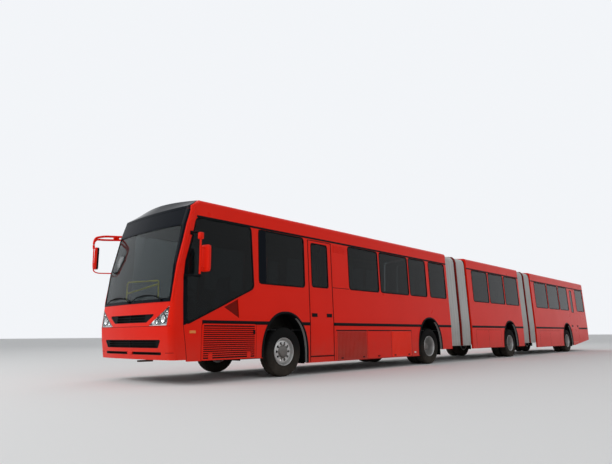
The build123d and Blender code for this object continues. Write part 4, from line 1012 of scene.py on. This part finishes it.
# Outer edge of the black glass: height, distance from the middle
BLACK_EDGE = np.array(
    (
        (1.43, 1.190), (1.87, 1.195), (2.13, 1.197), (2.55, 1.193), (2.99, 1.182), (3.16, 1.172),
        (3.30, 1.138), (3.37, 1.080),
    )
)


def black_edge(z):
    """Distance from the middle of the black glass's edge at a height."""
    return np.interp(z, BLACK_EDGE[:, 0], BLACK_EDGE[:, 1])


def crown_height(y):
    """Height of the roof's crown at a distance from the middle."""
    return CROWN_Z - 0.002 - CROWN_DROP * (y / CROWN_HALF) ** 2


def nose_sheet(y, z, proud):
    """Sheet on the curved front: each row runs along its outer face and back along its inner one."""
    return np.concatenate((on_nose(y, z, proud), on_nose(y, z, proud - SHEET_SKIN)[:, ::-1]), 1)


def nose_patch(foot, head, left, right, proud, rows=24, cols=49):
    """Sheet between two heights and two edges given as functions of height.

    Heights run evenly. Across, the points bunch towards both edges by a cosine, so that
    the corners of the front get short steps.
    """
    z = np.linspace(foot, head, rows)[:, None]
    u = (1 - np.cos(np.linspace(0, np.pi, cols)))[None] / 2
    y = left(z) + (right(z) - left(z)) * u
    return nose_sheet(y, z + 0 * y, proud)


def brow(foot, proud):
    """Sheet from a level foot up to the roof's crown, which its head follows."""
    edge_z = np.linspace(foot, BLACK_EDGE[-1, 0], 24)[:, None]
    u = -np.cos(np.linspace(0, np.pi, 65))[None]
    y = black_edge(edge_z) * u
    share = (edge_z - foot) / (BLACK_EDGE[-1, 0] - foot)
    return nose_sheet(y, foot + share * (crown_height(y) - foot), proud + 0.007 * share)


def screen_side(z):
    """Edge of the screen opening at a height."""
    return np.interp(z, *zip(*SCREEN))


cap = Shape()
full = (lambda z: -black_edge(z), black_edge)
cap.rod(nose_patch(GLASS_FOOT, SCREEN_FOOT, *full, 0.005, rows=4))
cap.rod(nose_patch(SCREEN_HEAD, BROW_FOOT, *full, 0.006))
cap.rod(brow(BROW_FOOT + 0.005, 0.006))
for side in (1, -1):
    cap.rod(nose_patch(SCREEN_FOOT, SCREEN_HEAD, screen_side, black_edge, 0.005, cols=17) * (1, side, 1))
cap.made("front_black_glass", black_glass, "front_car", "tinted_glass", smooth=30)

edge = Shape()
band = ((-0.010, -0.004), (-0.010, 0.004), (0.004, 0.0075), (0.034, 0.0035), (0.034, -0.004))
edge.band(nose_trim(softened(opening(SCREEN), 0.07, 10), band))
edge.made("screen_edge", rubber, "front_car", "black_plastic")

# Raised red frame along each side of the black glass, a half round laid on the corner
FRAME_FOOT, FRAME_HEAD = 1.40, 3.34
FRAME_MIDDLE = 0.022
FRAME_HALF = 0.019
FRAME_RISE = 0.015
frame_z = np.linspace(FRAME_FOOT, FRAME_HEAD, 90)[:, None]
turn = np.linspace(0, np.pi, 11)[None]
swell = Shape()
for side in (1, -1):
    taper = np.clip((frame_z - FRAME_FOOT) / 0.12, 0, 1) * np.clip((FRAME_HEAD - frame_z) / 0.20, 0, 1)
    y = side * (black_edge(frame_z) + FRAME_MIDDLE - FRAME_HALF * np.cos(turn))
    ring = nose_off(y, frame_z + 0 * turn, -0.003 + FRAME_RISE * np.sqrt(taper) * np.sin(turn))
    swell.rod(ring)
swell.made("front_frame", trim_red, "front_car", "red_paint", smooth=50)

# Dark sheets behind the grilles, as foot, head and half width, and the raised red middle of
# the lowest slot
GRILLE_BACKS = ((1.06, 1.25, 0.84), (0.61, 0.80, 1.02), (0.49, 0.59, 1.02))
backs = Shape()
for foot, head, reach in GRILLE_BACKS:
    sides = (lambda z, reach=reach: -reach + 0 * z, lambda z, reach=reach: reach + 0 * z)
    backs.rod(nose_patch(foot, head, *sides, -0.085, rows=4))
backs.made("grille_backs", black_trim, "front_car", "black_plastic", smooth=30)
BUMP_Z = 0.540
BUMP_HALF = 0.085
bump = Shape()
y = np.linspace(-BUMP_HALF, BUMP_HALF, 25)[:, None]
across = np.array((-1.0, -1.0, 0.0, 1.0, 1.0))[None]
off = np.array((-0.02, 0.004, 0.012, 0.004, -0.02))[None]
rise = 0.030 * np.sqrt(np.clip(1 - (y / (BUMP_HALF + 0.003)) ** 2, 0, 1)) + 0.004
z = BUMP_Z + rise * across
bump.rod(on_nose(y + 0 * z, z, off))
bump.made("slot_middle", trim_red, "front_car", "red_paint")

# Seams of the moulded front: points of y and z
NOSE_SEAMS = (
    ((-1.235, 1.012), (-0.6, 1.012), (0.0, 1.012), (0.6, 1.012), (1.235, 1.012)),
    ((1.09, 0.552), (1.255, 0.556)),
    ((-1.09, 0.552), (-1.255, 0.556)),
)
NOSE_SEAM = ((-0.003, -0.004), (-0.003, 0.0008), (0.003, 0.0008), (0.003, -0.004))
creases = Shape()
for route in NOSE_SEAMS:
    route = np.array(route)
    steps = np.linspace(0, 1, 61)
    at = np.linspace(0, 1, len(route))
    line = np.stack((np.interp(steps, at, route[:, 0]), np.interp(steps, at, route[:, 1])), -1)
    creases.rod(nose_trim(line, NOSE_SEAM, closed=False))
creases.made("front_seams", rubber, "front_car", "black_plastic", smooth=0)

# Headlamps: clear cover, bright housing and round lamps in it
LAMP_OUTLINE = ((1.186, 1.357), (1.161, 1.026), (0.654, 1.026), (0.692, 1.050))
LAMP_RING = ((-0.004, -0.003), (0.006, -0.002), (0.006, 0.006), (-0.004, 0.008))
LAMP_CORNER = 0.03
LAMP_SKIN = 0.003
# How far behind the front skin the cover, the bowls, the rings, the lenses and the back lie
COVER_IN, BOWL_IN, RING_IN, BULB_IN, BACK_IN = 0.001, 0.016, 0.014, 0.040, 0.046
LAMP_WALL = ((0.001, -0.006), (0.001, -0.047), (-0.003, -0.047), (-0.003, -0.006))
ROUND_LAMPS = (
    # y, z, radius, depth, finish
    (1.040, 1.140, 0.078, 0.055, "clear"),
    (0.865, 1.088, 0.043, 0.045, "clear"),
    (1.123, 1.272, 0.030, 0.030, "amber"),
)


def lamp_sheet(side, proud, inset):
    """Sheet inside the lamp's outline: rings shrink from the edge to the middle, on both faces."""
    outline = unique_run(softened(LAMP_OUTLINE, LAMP_CORNER, 8))
    middle = outline.mean(0)
    flat = middle + (outline - middle)[None] * np.linspace(1 - inset, 0.02, 7)[:, None, None]
    y, z = side * flat[..., 0], flat[..., 1]
    return np.concatenate((on_nose(y, z, proud - LAMP_SKIN)[::-1], on_nose(y, z, proud)), 0)


def bowl(side, y, z, radius, depth, proud):
    """Reflector bowl: a parabola turned about a line along X, with a thin wall."""
    x = float(nose_x(y, z, proud))
    r = np.concatenate((np.linspace(0.004, radius, 10), np.linspace(radius + 0.004, 0.004, 10)))
    inside = (np.arange(20) < 10)[:, None]
    turn = circle(40)[None]
    share = (np.minimum(r, radius) / radius)[:, None] ** 2
    along = x - depth * (1 - share) - np.where(inside, 0, 0.006)
    r = r[:, None]
    return np.stack((along + 0 * turn, side * y + r * np.cos(turn), z + r * np.sin(turn)), -1)


def bulb(side, y, z, radius, x):
    """Half-round lens on the front of a lamp."""
    a = np.linspace(0.02, np.pi / 2, 8)[:, None]
    turn = circle(28)[None]
    out = radius * np.sin(a)
    return np.stack(
        (x + 0.5 * radius * np.cos(a) + 0 * turn, side * y + out * np.cos(turn), z + out * np.sin(turn)), -1
    )


lens, housing, ambers, rings = Shape(), Shape(), Shape(), Shape()
for side in (1, -1):
    lens.rod(lamp_sheet(side, -COVER_IN, 0.0))
    housing.rod(lamp_sheet(side, -BACK_IN, 0.01))
    rim_path = unique_run(softened([(side * y, z) for y, z in LAMP_OUTLINE], LAMP_CORNER, 8))
    housing.band(nose_trim(rim_path, LAMP_WALL))
    for y, z, radius, depth, kind in ROUND_LAMPS:
        housing.band(bowl(side, y, z, radius, depth * 0.6, -BOWL_IN))
        flat = turned(np.array(LAMP_RING) + (0, radius), (side * y, 0, z), 1, 48)
        x = float(nose_x(y, z, -RING_IN)) + flat[..., 1]
        rings.band(np.stack((x, flat[..., 0], flat[..., 2]), -1))
        shape, share = (ambers, 0.92) if kind == "amber" else (housing, 0.36)
        shape.rod(bulb(side, y, z, radius * share, float(nose_x(y, z, -BULB_IN))))
lens.made("headlamp_covers", lamp_glass, "front_car", "lamp_clear", replaces=("headlamps",), smooth=30)
housing.made("headlamp_bowls", reflector, "front_car", "lamp_clear", smooth=30)
rings.made("headlamp_rings", black_trim, "front_car", "black_plastic")
ambers.made("front_indicators", amber, "front_car", "lamp_clear", smooth=30)

# Wipers at rest along the foot of the screen: pivot y, tip y
ARM_Z, ARM_RISE = 1.475, 0.10
BLADE_Z, BLADE_RISE = 1.545, 0.02
BLADE_HALF = 0.33
PIVOT_ENDS = (1.450, 1.492)
wipers = Shape()
for pivot_y, tip_y in ((0.95, 0.06), (-0.08, -0.98)):
    y = np.linspace(pivot_y, tip_y, 24)
    z = ARM_Z + ARM_RISE * np.sin(np.linspace(0, np.pi, 24)) ** 0.7
    wipers.rod(tube(on_nose(y, z, 0.030), 0.009, 10, 0.6))
    middle = (pivot_y + tip_y) / 2 - 0.05 * np.sign(pivot_y - tip_y)
    y = np.linspace(middle + BLADE_HALF, middle - BLADE_HALF, 20)
    z = BLADE_Z + BLADE_RISE * np.cos(np.linspace(-1.2, 1.2, 20))
    wipers.rod(tube(on_nose(y, z, 0.014), 0.008, 8))
    pivot_z = np.array(PIVOT_ENDS)
    wipers.rod(tube(on_nose(0 * pivot_z + pivot_y, pivot_z, 0.022), 0.022, 16))
wipers.made("wipers", black_trim, "front_car", "black_plastic")

# Slatted grille on each side of the front car: start, end, foot, head
GRILLE_PANEL = (-2.13, -0.87, 0.42, 1.045)
SLATS = 15
SLAT_MARGIN = 0.03
HINGE_IN = 0.17
HINGE_HALF = 0.045
SLAT = ((-0.0095, 0.001), (-0.0095, 0.011), (0.004, 0.013), (0.0095, 0.006), (0.0095, 0.001))
FRAME = ((-0.014, 0.0005), (-0.014, 0.008), (0.014, 0.008), (0.014, 0.0005))

slats, hinges, behind = Shape(), Shape(), Shape()
start, end, foot, head = GRILLE_PANEL
for side in (1, -1):
    x_low, x_high = DATUM["front"] - end, DATUM["front"] - start
    outline = softened(box_outline(x_low, x_high, foot, head), 0.02, 4)
    slats.band(side_trim(outline, FRAME, side))
    behind.rod(side_patch(box_outline(x_low + 0.01, x_high - 0.01, foot + 0.01, head - 0.01), side, 0.002))
    rise = (head - foot - 2 * SLAT_MARGIN) / SLATS
    for z in foot + SLAT_MARGIN + rise * (np.arange(SLATS) + 0.5):
        line = level_line((x_low + 0.012, x_high - 0.012), z)
        slats.rod(side_trim(line, SLAT, side, closed=False))
    for x in (x_low + HINGE_IN, x_high - HINGE_IN):
        hinge = box_outline(x - HINGE_HALF, x + HINGE_HALF, foot + 0.01, foot + 0.11)
        hinges.rod(side_patch(hinge, side, 0.018, 0.012))
behind.made("side_grille_backs", black_trim, "front_car", "black_plastic", smooth=0)
slats.made("side_grille_slats", trim_red, "front_car", "red_paint", smooth=30)
hinges.made("side_grille_hinges", trim_red, "front_car", "red_paint", bevel=0.004)

# Bay lids on the left of the front car: start, end, ribs, finish
LID_FOOT, LID_HEAD = 0.27, 0.93
# The last lid's brighter red is painted light
LIDS = ((1.69, 2.84, 22, dull_red), (2.90, 3.90, 0, trim_red), (3.97, 4.90, 16, painted_light_red))
RIB = ((-0.010, 0.0015), (-0.007, 0.008), (0.007, 0.008), (0.010, 0.0015))
for count, (start, end, ribs, made) in enumerate(LIDS):
    outline = car_box("front", start, end, LID_FOOT, LID_HEAD)
    lid = Shape()
    lid.rod(side_patch(outline, 1, 0.002))
    for x in np.linspace(outline[0][0] + 0.03, outline[1][0] - 0.03, ribs):
        lid.rod(side_trim(((x, LID_FOOT + 0.02), (x, LID_HEAD - 0.02)), RIB, 1, closed=False))
    lid.made(f"bay_lid_{count}", made, "front_car", "red_paint", smooth=30)

# Air slots near the top of the blank panel behind the service door
vents = Shape()
for z in np.linspace(2.80, 2.95, 6):
    vents.rod(side_trim(level_line((7.52, 7.99), z), np.array(SLAT) * 0.8, 1, closed=False))
vents.made("blank_panel_vents", trim_red, "front_car", "red_paint", smooth=30)

# Seams between lids and panels, as start, end, foot and head for each car and side
SEAMS = {
    ("front", 1): (
        (1.64, 2.87, 0.26, 0.955), (2.87, 3.93, 0.26, 0.955), (3.93, 4.95, 0.26, 0.955),
        (-2.16, -0.84, 0.402, 1.05),
    ),
    ("front", -1): ((2.5, 3.9, 0.26, 0.955),),
    ("middle", 1): ((0.3, 1.3, 0.38, 0.98), (1.3, 2.35, 0.38, 0.98)),
    ("middle", -1): ((0.06, 0.7, 0.38, 0.98),),
    ("rear", 1): ((0.4, 1.7, 0.30, 0.96), (1.7, 3.0, 0.30, 0.96)),
    ("rear", -1): ((2.3, 3.35, 0.30, 0.96), (5.0, 5.7, 0.42, 0.96)),
}
# Rear edge of the moulded front on the side wall
BUMPER_SEAM = ((12.108, 0.432), (12.151, 0.73), (12.185, 0.93), (12.197, 1.033))
SEAM = ((-0.003, -0.002), (-0.003, 0.0006), (0.003, 0.0006), (0.003, -0.002))
for car, body in BODY.items():
    seams = Shape()
    for side in (1, -1):
        for row in SEAMS[car, side]:
            seams.band(side_trim(softened(car_box(car, *row), 0.03, 4), SEAM, side))
    if car == "front":
        for side in (1, -1):
            seams.rod(side_trim(BUMPER_SEAM, np.array(SEAM) * (1.5, 1), side, closed=False))
    seams.made(f"{car}_panel_seams", rubber, body, "black_plastic", smooth=30)

# Dark marks on the left of the front car, as start, end, foot and head: the gaps round the
# service door and the blank panel's seam, the bay lids' hinges and latches, and the border
# ahead of the second window
DOOR_GAPS = (
    (0.748, 0.766, 0.27, 2.985), (1.564, 1.582, 0.27, 2.985), (0.766, 1.564, 2.984, 2.994),
    (0.766, 1.564, 0.366, 0.386), (1.575, 2.215, 1.930, 1.942),
)
LID_HINGES = [(start, end, 0.934, 0.956) for start, end in ((1.66, 2.85), (2.89, 3.91), (3.95, 4.93))]
LID_LATCHES = [(x - 0.038, x + 0.038, 0.298, 0.326) for x in (1.86, 2.70, 3.35, 4.09, 4.78)]
WINDOW_BORDER = ((-0.748, -0.548, 1.885, 2.995),)
LEFT_MARKS = (
    # finish, rows and their height off the wall
    (rubber, (DOOR_GAPS, 0.0015)),
    (black_trim, (LID_HINGES, 0.006), (LID_LATCHES, 0.012)),
    (black_glass, (WINDOW_BORDER, 0.002)),
)
for made, *kinds in LEFT_MARKS:
    marks = Shape()
    for rows, proud in kinds:
        for start, end, foot, head in rows:
            # A mark that crosses the waist is split there, where the wall starts to lean
            for low, top in ((foot, min(head, WAIST_Z)), (max(foot, WAIST_Z), head)):
                if top > low:
                    outline = car_box("front", start, end, low, top)
                    marks.rod(side_patch(outline, 1, proud, proud + 0.003))
    marks.made(f"left_{made.name.replace(' ', '_')}_marks", made, "front_car", "black_plastic", smooth=0)

# Mirrors: tube arms with moulded heads
MIRROR_ARMS = (
    # finish, radius, route
    ("red", 0.023, (
        (12.0, -1.205, 2.958), (12.0, -1.30, 2.958), (12.40, -1.47, 2.945), (12.57, -1.53, 2.90),
        (12.598, -1.532, 2.78), (12.59, -1.53, 2.66),
    )),
    ("red", 0.021, (
        (12.0, -1.205, 2.895), (12.06, -1.32, 2.885), (12.40, -1.475, 2.865), (12.55, -1.52, 2.865),
        (12.592, -1.53, 2.80),
    )),
    ("red", 0.012, (
        (12.59, -1.53, 2.70), (12.585, -1.525, 2.30), (12.57, -1.51, 2.18), (12.50, -1.465, 2.145),
        (12.20, -1.32, 2.15), (12.20, -1.235, 2.15),
    )),
    ("red", 0.018, ((12.03, 1.47, 2.62), (12.03, 1.47, 1.90))),
    ("red", 0.013, ((12.03, 1.47, 2.40), (11.90, 1.475, 2.40))),
    ("red", 0.013, ((12.03, 1.47, 2.04), (11.90, 1.475, 2.04))),
    ("black", 0.017, ((12.05, 1.215, 2.70), (12.05, 1.42, 2.70), (12.035, 1.468, 2.64), (12.03, 1.47, 2.60))),
    ("black", 0.016, (
        (12.03, 1.47, 1.915), (12.035, 1.462, 1.885), (12.16, 1.36, 1.895), (12.185, 1.24, 1.90),
    )),
)
MIRROR_HEADS = (
    # centre, size, turn about Z
    ((12.535, -1.49, 2.455), (0.095, 0.19, 0.46), -0.43),
    ((11.90, 1.475, 2.215), (0.105, 0.205, 0.49), 0.24),
)
# Halves of a head: finish, shift and depth as shares of its depth, share of its other sizes
HEAD_HALVES = (("red", 0.16, 0.68, 1.0), ("black", -0.22, 0.5, 0.985))
# Rounded joints of the arms: finish, centre, size
MIRROR_KNUCKLES = (
    ("red", (12.03, 1.47, 2.615), (0.085, 0.085, 0.125)),
    ("red", (12.0, -1.215, 2.926), (0.10, 0.035, 0.125)),
    ("red", (12.18, -1.38, 2.912), (0.12, 0.05, 0.06)),
    ("red", (12.2, -1.246, 2.15), (0.055, 0.022, 0.055)),
    ("black", (12.05, 1.222, 2.70), (0.075, 0.028, 0.075)),
    ("black", (12.185, 1.256, 1.90), (0.06, 0.022, 0.06)),
    ("black", (12.03, 1.47, 1.895), (0.05, 0.05, 0.05)),
)


# Powers that round a head's upright section and its plan
UPRIGHT_POWER = 0.28
PLAN_POWER = 0.35


def moulded_head(centre, size, rows=28, cols=48):
    """Rounded box from a super-ellipsoid: powers of sine and cosine on a sphere's grid."""
    a = np.linspace(-np.pi / 2 + 1e-3, np.pi / 2 - 1e-3, rows)[:, None]
    b = circle(cols)[None]

    def power(value, exponent):
        return np.sign(value) * np.abs(value) ** exponent

    level = power(np.cos(a), UPRIGHT_POWER)
    z = power(np.sin(a), UPRIGHT_POWER) + 0 * b
    points = np.stack((level * power(np.cos(b), PLAN_POWER), level * power(np.sin(b), PLAN_POWER), z), -1)
    return points / 2 * np.array(size) + np.array(centre)


def swung(points, centre, turn):
    """Points turned about an upright line through a centre."""
    out = points - np.array(centre)
    c, s = math.cos(turn), math.sin(turn)
    return out @ np.array(((c, s, 0), (-s, c, 0), (0, 0, 1))) + np.array(centre)


mirror_parts = {"red": Shape(), "black": Shape()}
mirror_panes = Shape()
for kind, radius, route in MIRROR_ARMS:
    mirror_parts[kind].rod(tube(softened(route, 0.07, 8, closed=False), radius, 14))
for kind, centre, size in MIRROR_KNUCKLES:
    mirror_parts[kind].rod(moulded_head(centre, size, 16, 24))
for centre, size, turn in MIRROR_HEADS:
    # Shell in front, a black bezel behind it, and the glass set in the bezel
    for kind, shift, depth, share in HEAD_HALVES:
        at = np.array(centre) + (shift * size[0], 0, 0)
        head = moulded_head(at, (depth * size[0], share * size[1], share * size[2]))
        mirror_parts[kind].rod(swung(head, centre, turn))
    face = np.array(centre) - (0.47 * size[0], 0, 0)
    pane = moulded_head(face, (0.006, size[1] * 0.84, size[2] * 0.88))
    mirror_panes.rod(swung(pane, centre, turn))
mirror_parts["red"].made(
    "mirror_bodies", trim_red, "front_car", "red_paint", replaces=("mirrors",), smooth=50
)
mirror_parts["black"].made("mirror_stays", black_trim, "front_car", "black_plastic", smooth=50)
mirror_panes.made("mirror_panes", mirror_glass, "front_car", "tinted_glass", smooth=50)

# Door pulls, side lamps and latches: body, car, side, (start, end, foot, head), proud, finish
PLATE_FINISH = {"amber": amber, "pale": pale_lens, "black": black_trim}
PLATES = (
    ("service_leaf_front", "front", 1, (0.82, 1.00, 1.24, 1.32), 0.010, "black"),
    ("service_leaf_front", "front", 1, (1.33, 1.51, 1.24, 1.32), 0.010, "black"),
    ("service_leaf_rear", "rear", 1, (4.90, 5.06, 1.15, 1.23), 0.010, "black"),
    ("service_leaf_rear", "rear", 1, (5.72, 5.88, 1.15, 1.23), 0.010, "black"),
    ("front_car", "front", 1, (-2.42, -2.29, 0.885, 0.935), 0.012, "amber"),
    ("front_car", "front", -1, (-2.42, -2.29, 0.885, 0.935), 0.012, "amber"),
    ("front_car", "front", 1, (5.06, 5.14, 0.34, 0.38), 0.012, "pale"),
    ("front_car", "front", 1, (-0.93, -0.875, 0.87, 0.95), 0.016, "black"),
)
for count, (body, car, side, edges, proud, kind) in enumerate(PLATES):
    plate = Shape()
    plate.rod(side_patch(car_box(car, *edges), side, proud, proud + 0.004))
    plate.made(f"side_plate_{count}", PLATE_FINISH[kind], body, bevel=0.004, smooth=30)

# Mud flaps behind the wheels, each with a bar at its head
FLAP_WIDTH, TWIN_FLAP_WIDTH = 0.34, 0.60
FLAP_Y = 1.235
FLAP_BACK = 0.60
for row, x in enumerate(AXLE_X, 1):
    body = BODY["front" if row < 3 else "middle" if row == 3 else "rear"]
    width = FLAP_WIDTH if row == 1 else TWIN_FLAP_WIDTH
    flaps = Shape()
    for side in (1, -1):
        y = side * (FLAP_Y - width / 2)
        centres = ((x - FLAP_BACK, y, 0.42), (x - FLAP_BACK, y, 0.60))
        flaps.blocks(centres, ((0.012, width, 0.36), (0.03, width, 0.03)))
    flaps.made(f"mud_flaps_{row}", rubber, body, "black_plastic", bevel=0.003, smooth=30)

# Rear window rubber and tail lamps on the flat rear wall
REAR_GLASS = ((1.90, 0.95), (2.85, 0.90))

rear_rubber = Shape()
rear_rubber.band(rear_trim(softened(opening(REAR_GLASS, -1), 0.08), RUBBER))
rear_rubber.made("rear_window_rubber", rubber, "rear_car", "black_plastic")

TAIL_LAMPS = ((0.72, red_lens), (0.88, lamp_glass), (1.04, amber), (1.20, red_lens))
TAIL_Y = 1.08
# Sections of their bezels and lenses: radius, height off the wall
BEZEL = np.array(((0.064, 0.0), (0.064, 0.010), (0.058, 0.016), (0.052, 0.012), (0.052, 0.0)))
rise = np.linspace(0.02, np.pi / 2, 9)
dome = np.stack((0.0535 * np.sin(rise), 0.003 + 0.012 * np.cos(rise)), -1)
LENS_SECTION = np.concatenate((dome, ((0.0535, -0.002), (0.001, -0.002))))


def tail_ring(section, side, z):
    """Section turned about a line along X, on the rear wall."""
    y = side * TAIL_Y + section[:, None, 0] * np.cos(circle(48))
    up = z + section[:, None, 0] * np.sin(circle(48))
    return np.stack((REAR_X - 0.001 - section[:, None, 1] + 0 * y, y, up), -1)


bezels = Shape()
for count, (z, made) in enumerate(TAIL_LAMPS):
    lenses = Shape()
    for side in (1, -1):
        bezels.band(tail_ring(BEZEL, side, z))
        lenses.rod(tail_ring(LENS_SECTION, side, z))
    replaced = ("tail_lamps",) if count == 0 else ()
    lenses.made(f"tail_lenses_{count}", made, "rear_car", "lamp_red", smooth=40, replaces=replaced)
bezels.made("tail_lamp_bezels", black_trim, "rear_car", "black_plastic")

# Saloon: moulded seats on pedestals, two to a bench, poles and rails, floor covering
SEAT_LEVEL = 1.38
# Seat section from the front lip to the top of the back: forward of the back's foot, above the cushion
SEAT_SECTION = (
    (0.410, -0.045), (0.425, -0.020), (0.410, 0.0), (0.34, 0.006), (0.20, -0.004), (0.08, -0.008),
    (0.02, 0.004), (-0.008, 0.06), (-0.035, 0.22), (-0.066, 0.40), (-0.094, 0.55), (-0.107, 0.62),
    (-0.122, 0.645),
)
# Benches, by the distance back to the foot of their backs for each car and side
BENCHES = {
    ("front", 1): (1.95, 2.7, 3.45, 4.2, 4.95), ("front", -1): (2.8, 3.45),
    ("middle", 1): (0.7, 1.45, 2.2), ("middle", -1): (2.35,),
    ("rear", 1): (0.7, 1.45, 2.2, 2.95, 6.3, 7.0), ("rear", -1): (2.6, 3.3, 5.35),
}
BENCH_Y = half_width(2.0) - 0.06 - 0.055 - 0.425
AISLE_Y = BENCH_Y - 0.425 + 0.017
BENCH_WIDTH = 0.425
SEAT_WIDTH = 0.405
PEDESTAL_X = 0.21
BAR_Z, BAR_HALF = 1.338, 0.40
POLE_BACK = 0.135
POLE_ENDS = (1.96, 3.34)
RAIL_Z = 2.93
DRIVER_SEAT = (10.9, 0.62)
# Rails low behind the screen
SCREEN_RAILS = (
    (
        (12.13, -0.87, 1.46), (12.13, -0.87, 1.90), (12.12, -0.84, 1.932), (11.95, 0.0, 1.918),
        (11.95, 0.02, 1.89), (11.95, 0.02, 1.52),
    ),
    ((12.125, -0.86, 1.70), (11.95, 0.01, 1.85)),
)
# Ends of the floor covering
FLOOR = {"front": (2.40, 11.9), "middle": (-3.60, 0.85), "rear": (-12.46, -5.10)}


def seat_grid(x, y, width):
    """Moulded seat: its section carried across, dished in the middle and narrower up the back.

    The dish lifts each side by the fourth power of its distance from the middle. The
    section runs up the front face and back down the rear one, 28 mm behind it.
    """
    run = unique_run(softened(SEAT_SECTION, 0.03, 5, closed=False))
    normal = across_path(run, False)
    u = np.linspace(-1, 1, 17)[:, None, None]
    front = run[None] + normal[None] * 0.02 * u**4
    loop = np.concatenate((front, (front - normal[None] * 0.028)[:, ::-1]), 1)
    narrow = 1 - 0.16 * np.clip(loop[..., 1] / 0.65, 0, 1) ** 3
    across = y + u[..., 0] * width / 2 * narrow
    return np.stack((x + loop[..., 0], across, SEAT_LEVEL + loop[..., 1]), -1)


for car, body in BODY.items():
    seats, rails, legs = Shape(), Shape(), Shape()
    for side in (1, -1):
        poles = []
        for count, behind in enumerate(BENCHES[car, side]):
            x = DATUM[car] - behind
            y = side * BENCH_Y
            for part in (-BENCH_WIDTH / 2, BENCH_WIDTH / 2):
                seats.rod(seat_grid(x, y + part, SEAT_WIDTH))
            legs.blocks((x + PEDESTAL_X, y, 1.14), (0.07, BENCH_WIDTH, 0.38))
            for ahead in (0.04, 0.34):
                bar = ((x + ahead, y - BAR_HALF, BAR_Z), (x + ahead, y + BAR_HALF, BAR_Z))
                legs.rod(tube(bar, 0.014, 10))
            if count % 2 == 0:
                poles.append(x - POLE_BACK)
        for x in poles:
            pole = [(x, side * AISLE_Y, z) for z in POLE_ENDS]
            rails.rod(tube(pole, 0.017, 14))
        if len(poles) > 1:
            rail = [(x, side * AISLE_Y, RAIL_Z) for x in (poles[0] + 0.25, poles[-1] - 0.25)]
            rails.rod(tube(rail, 0.015, 14))
    if car == "front":
        x, y = DRIVER_SEAT
        seats.rod(seat_grid(x, y, 0.46))
        legs.rod(tube([(x + PEDESTAL_X, y, z) for z in (0.955, 1.34)], 0.05, 20))
        for route in SCREEN_RAILS:
            rails.rod(tube(softened(route, 0.04, 6, closed=False), 0.016, 14))
    seats.made(f"{car}_seat_shells", seat_shell, body, "seat_plastic", replaces=(f"{car}_seats",), smooth=50)
    rails.made(f"{car}_handrails", yellow_rail, body, "seat_plastic", smooth=50)
    legs.made(f"{car}_seat_frames", steel, body, "seat_plastic", bevel=0.004)
    low, high = FLOOR[car]
    cover = Shape()
    cover.blocks(((low + high) / 2, 0, 0.9525), (high - low, 2.38, 0.003))
    cover.made(f"{car}_floor_covering", floor_grey, body, "black_plastic", smooth=0)

# Camera at the photograph's place, floor and lamps
EYE = Vector((17.539, 9.102, 0.835))
YAW = 0.7427
PITCH = 0.1963
ROLL = -0.0072
# Focal length: 520 of the photograph's 612 pixels across, on a 36 mm sensor
SENSOR = 36
LENS = SENSOR * 520 / 612
FLOOR_REACH = 400
LAMPS = (
    # name, place, aim, width, height, power
    ("key", (26, -3, 14), (8, 0, 1), 16, 10, 1700),
    ("side", (6, 26, 14), (1, 0, 1), 26, 10, 620),
    ("back", (-16, -18, 16), (-2, 0, 2), 22, 10, 1000),
)
# World's strength on the bus, and how much brighter the camera, reflections and glass see it
WORLD_LIGHT = 0.52
WORLD_SEEN = 0.44


def photo_camera():
    """Camera with the photograph's place, aim and field of view."""
    data = bpy.data.cameras.new("camera")
    data.lens = LENS
    data.sensor_width = SENSOR
    data.clip_start = 0.05
    data.clip_end = 500
    camera = linked("camera", data)
    ahead = Vector(
        (-math.cos(YAW) * math.cos(PITCH), -math.sin(YAW) * math.cos(PITCH), math.sin(PITCH))
    )
    right = ahead.cross(Vector((0, 0, 1))).normalized()
    up = right.cross(ahead)
    c, s = math.cos(ROLL), math.sin(ROLL)
    turned_right = c * right + s * up
    turned_up = c * up - s * right
    aim = Matrix((turned_right, turned_up, -ahead)).transposed().to_4x4()
    camera.matrix_world = Matrix.Translation(EYE) @ aim
    bpy.context.scene.camera = camera


def plain_shader(name, colour, rough):
    """Plain backdrop finish."""
    made, shader = new_material(name)
    set_inputs(shader, {"Base Color": (*colour, 1), "Roughness": rough})
    return made


def studio():
    """Pale floor, pale world seen by the camera and in reflections, and three soft lamps."""
    mesh = bpy.data.meshes.new("floor")
    corners = [(x * FLOOR_REACH, y * FLOOR_REACH, 0) for x, y in ((-1, -1), (1, -1), (1, 1), (-1, 1))]
    mesh.from_pydata(corners, [], [(0, 1, 2, 3)])
    mesh.materials.append(plain_shader("pale floor", (0.80, 0.80, 0.79), 0.85))
    ground = linked("floor", mesh)
    world = bpy.data.worlds.new("studio")
    bpy.context.scene.world = world
    world.use_nodes = True
    tree = world.node_tree
    background = tree.nodes["Background"]
    path = added(tree, "LightPath")
    seen = math_node(tree, "MAXIMUM", path.outputs["Is Camera Ray"], path.outputs["Is Glossy Ray"])
    seen = math_node(tree, "MAXIMUM", seen, path.outputs["Is Transmission Ray"])
    strength = math_node(tree, "ADD", math_node(tree, "MULTIPLY", seen, WORLD_SEEN), WORLD_LIGHT)
    background.inputs["Color"].default_value = (0.93, 0.95, 0.98, 1)
    tree.links.new(strength, background.inputs["Strength"])
    for name, place, aim, width, height, power in LAMPS:
        data = bpy.data.lights.new(name, "AREA")
        data.shape = "RECTANGLE"
        data.size, data.size_y, data.energy = width, height, power
        lamp = linked(name, data)
        lamp.location = place
        lamp.rotation_euler = (Vector(aim) - Vector(place)).to_track_quat("-Z", "Y").to_euler()
    bpy.context.scene.view_settings.view_transform = "Standard"


photo_camera()
studio()
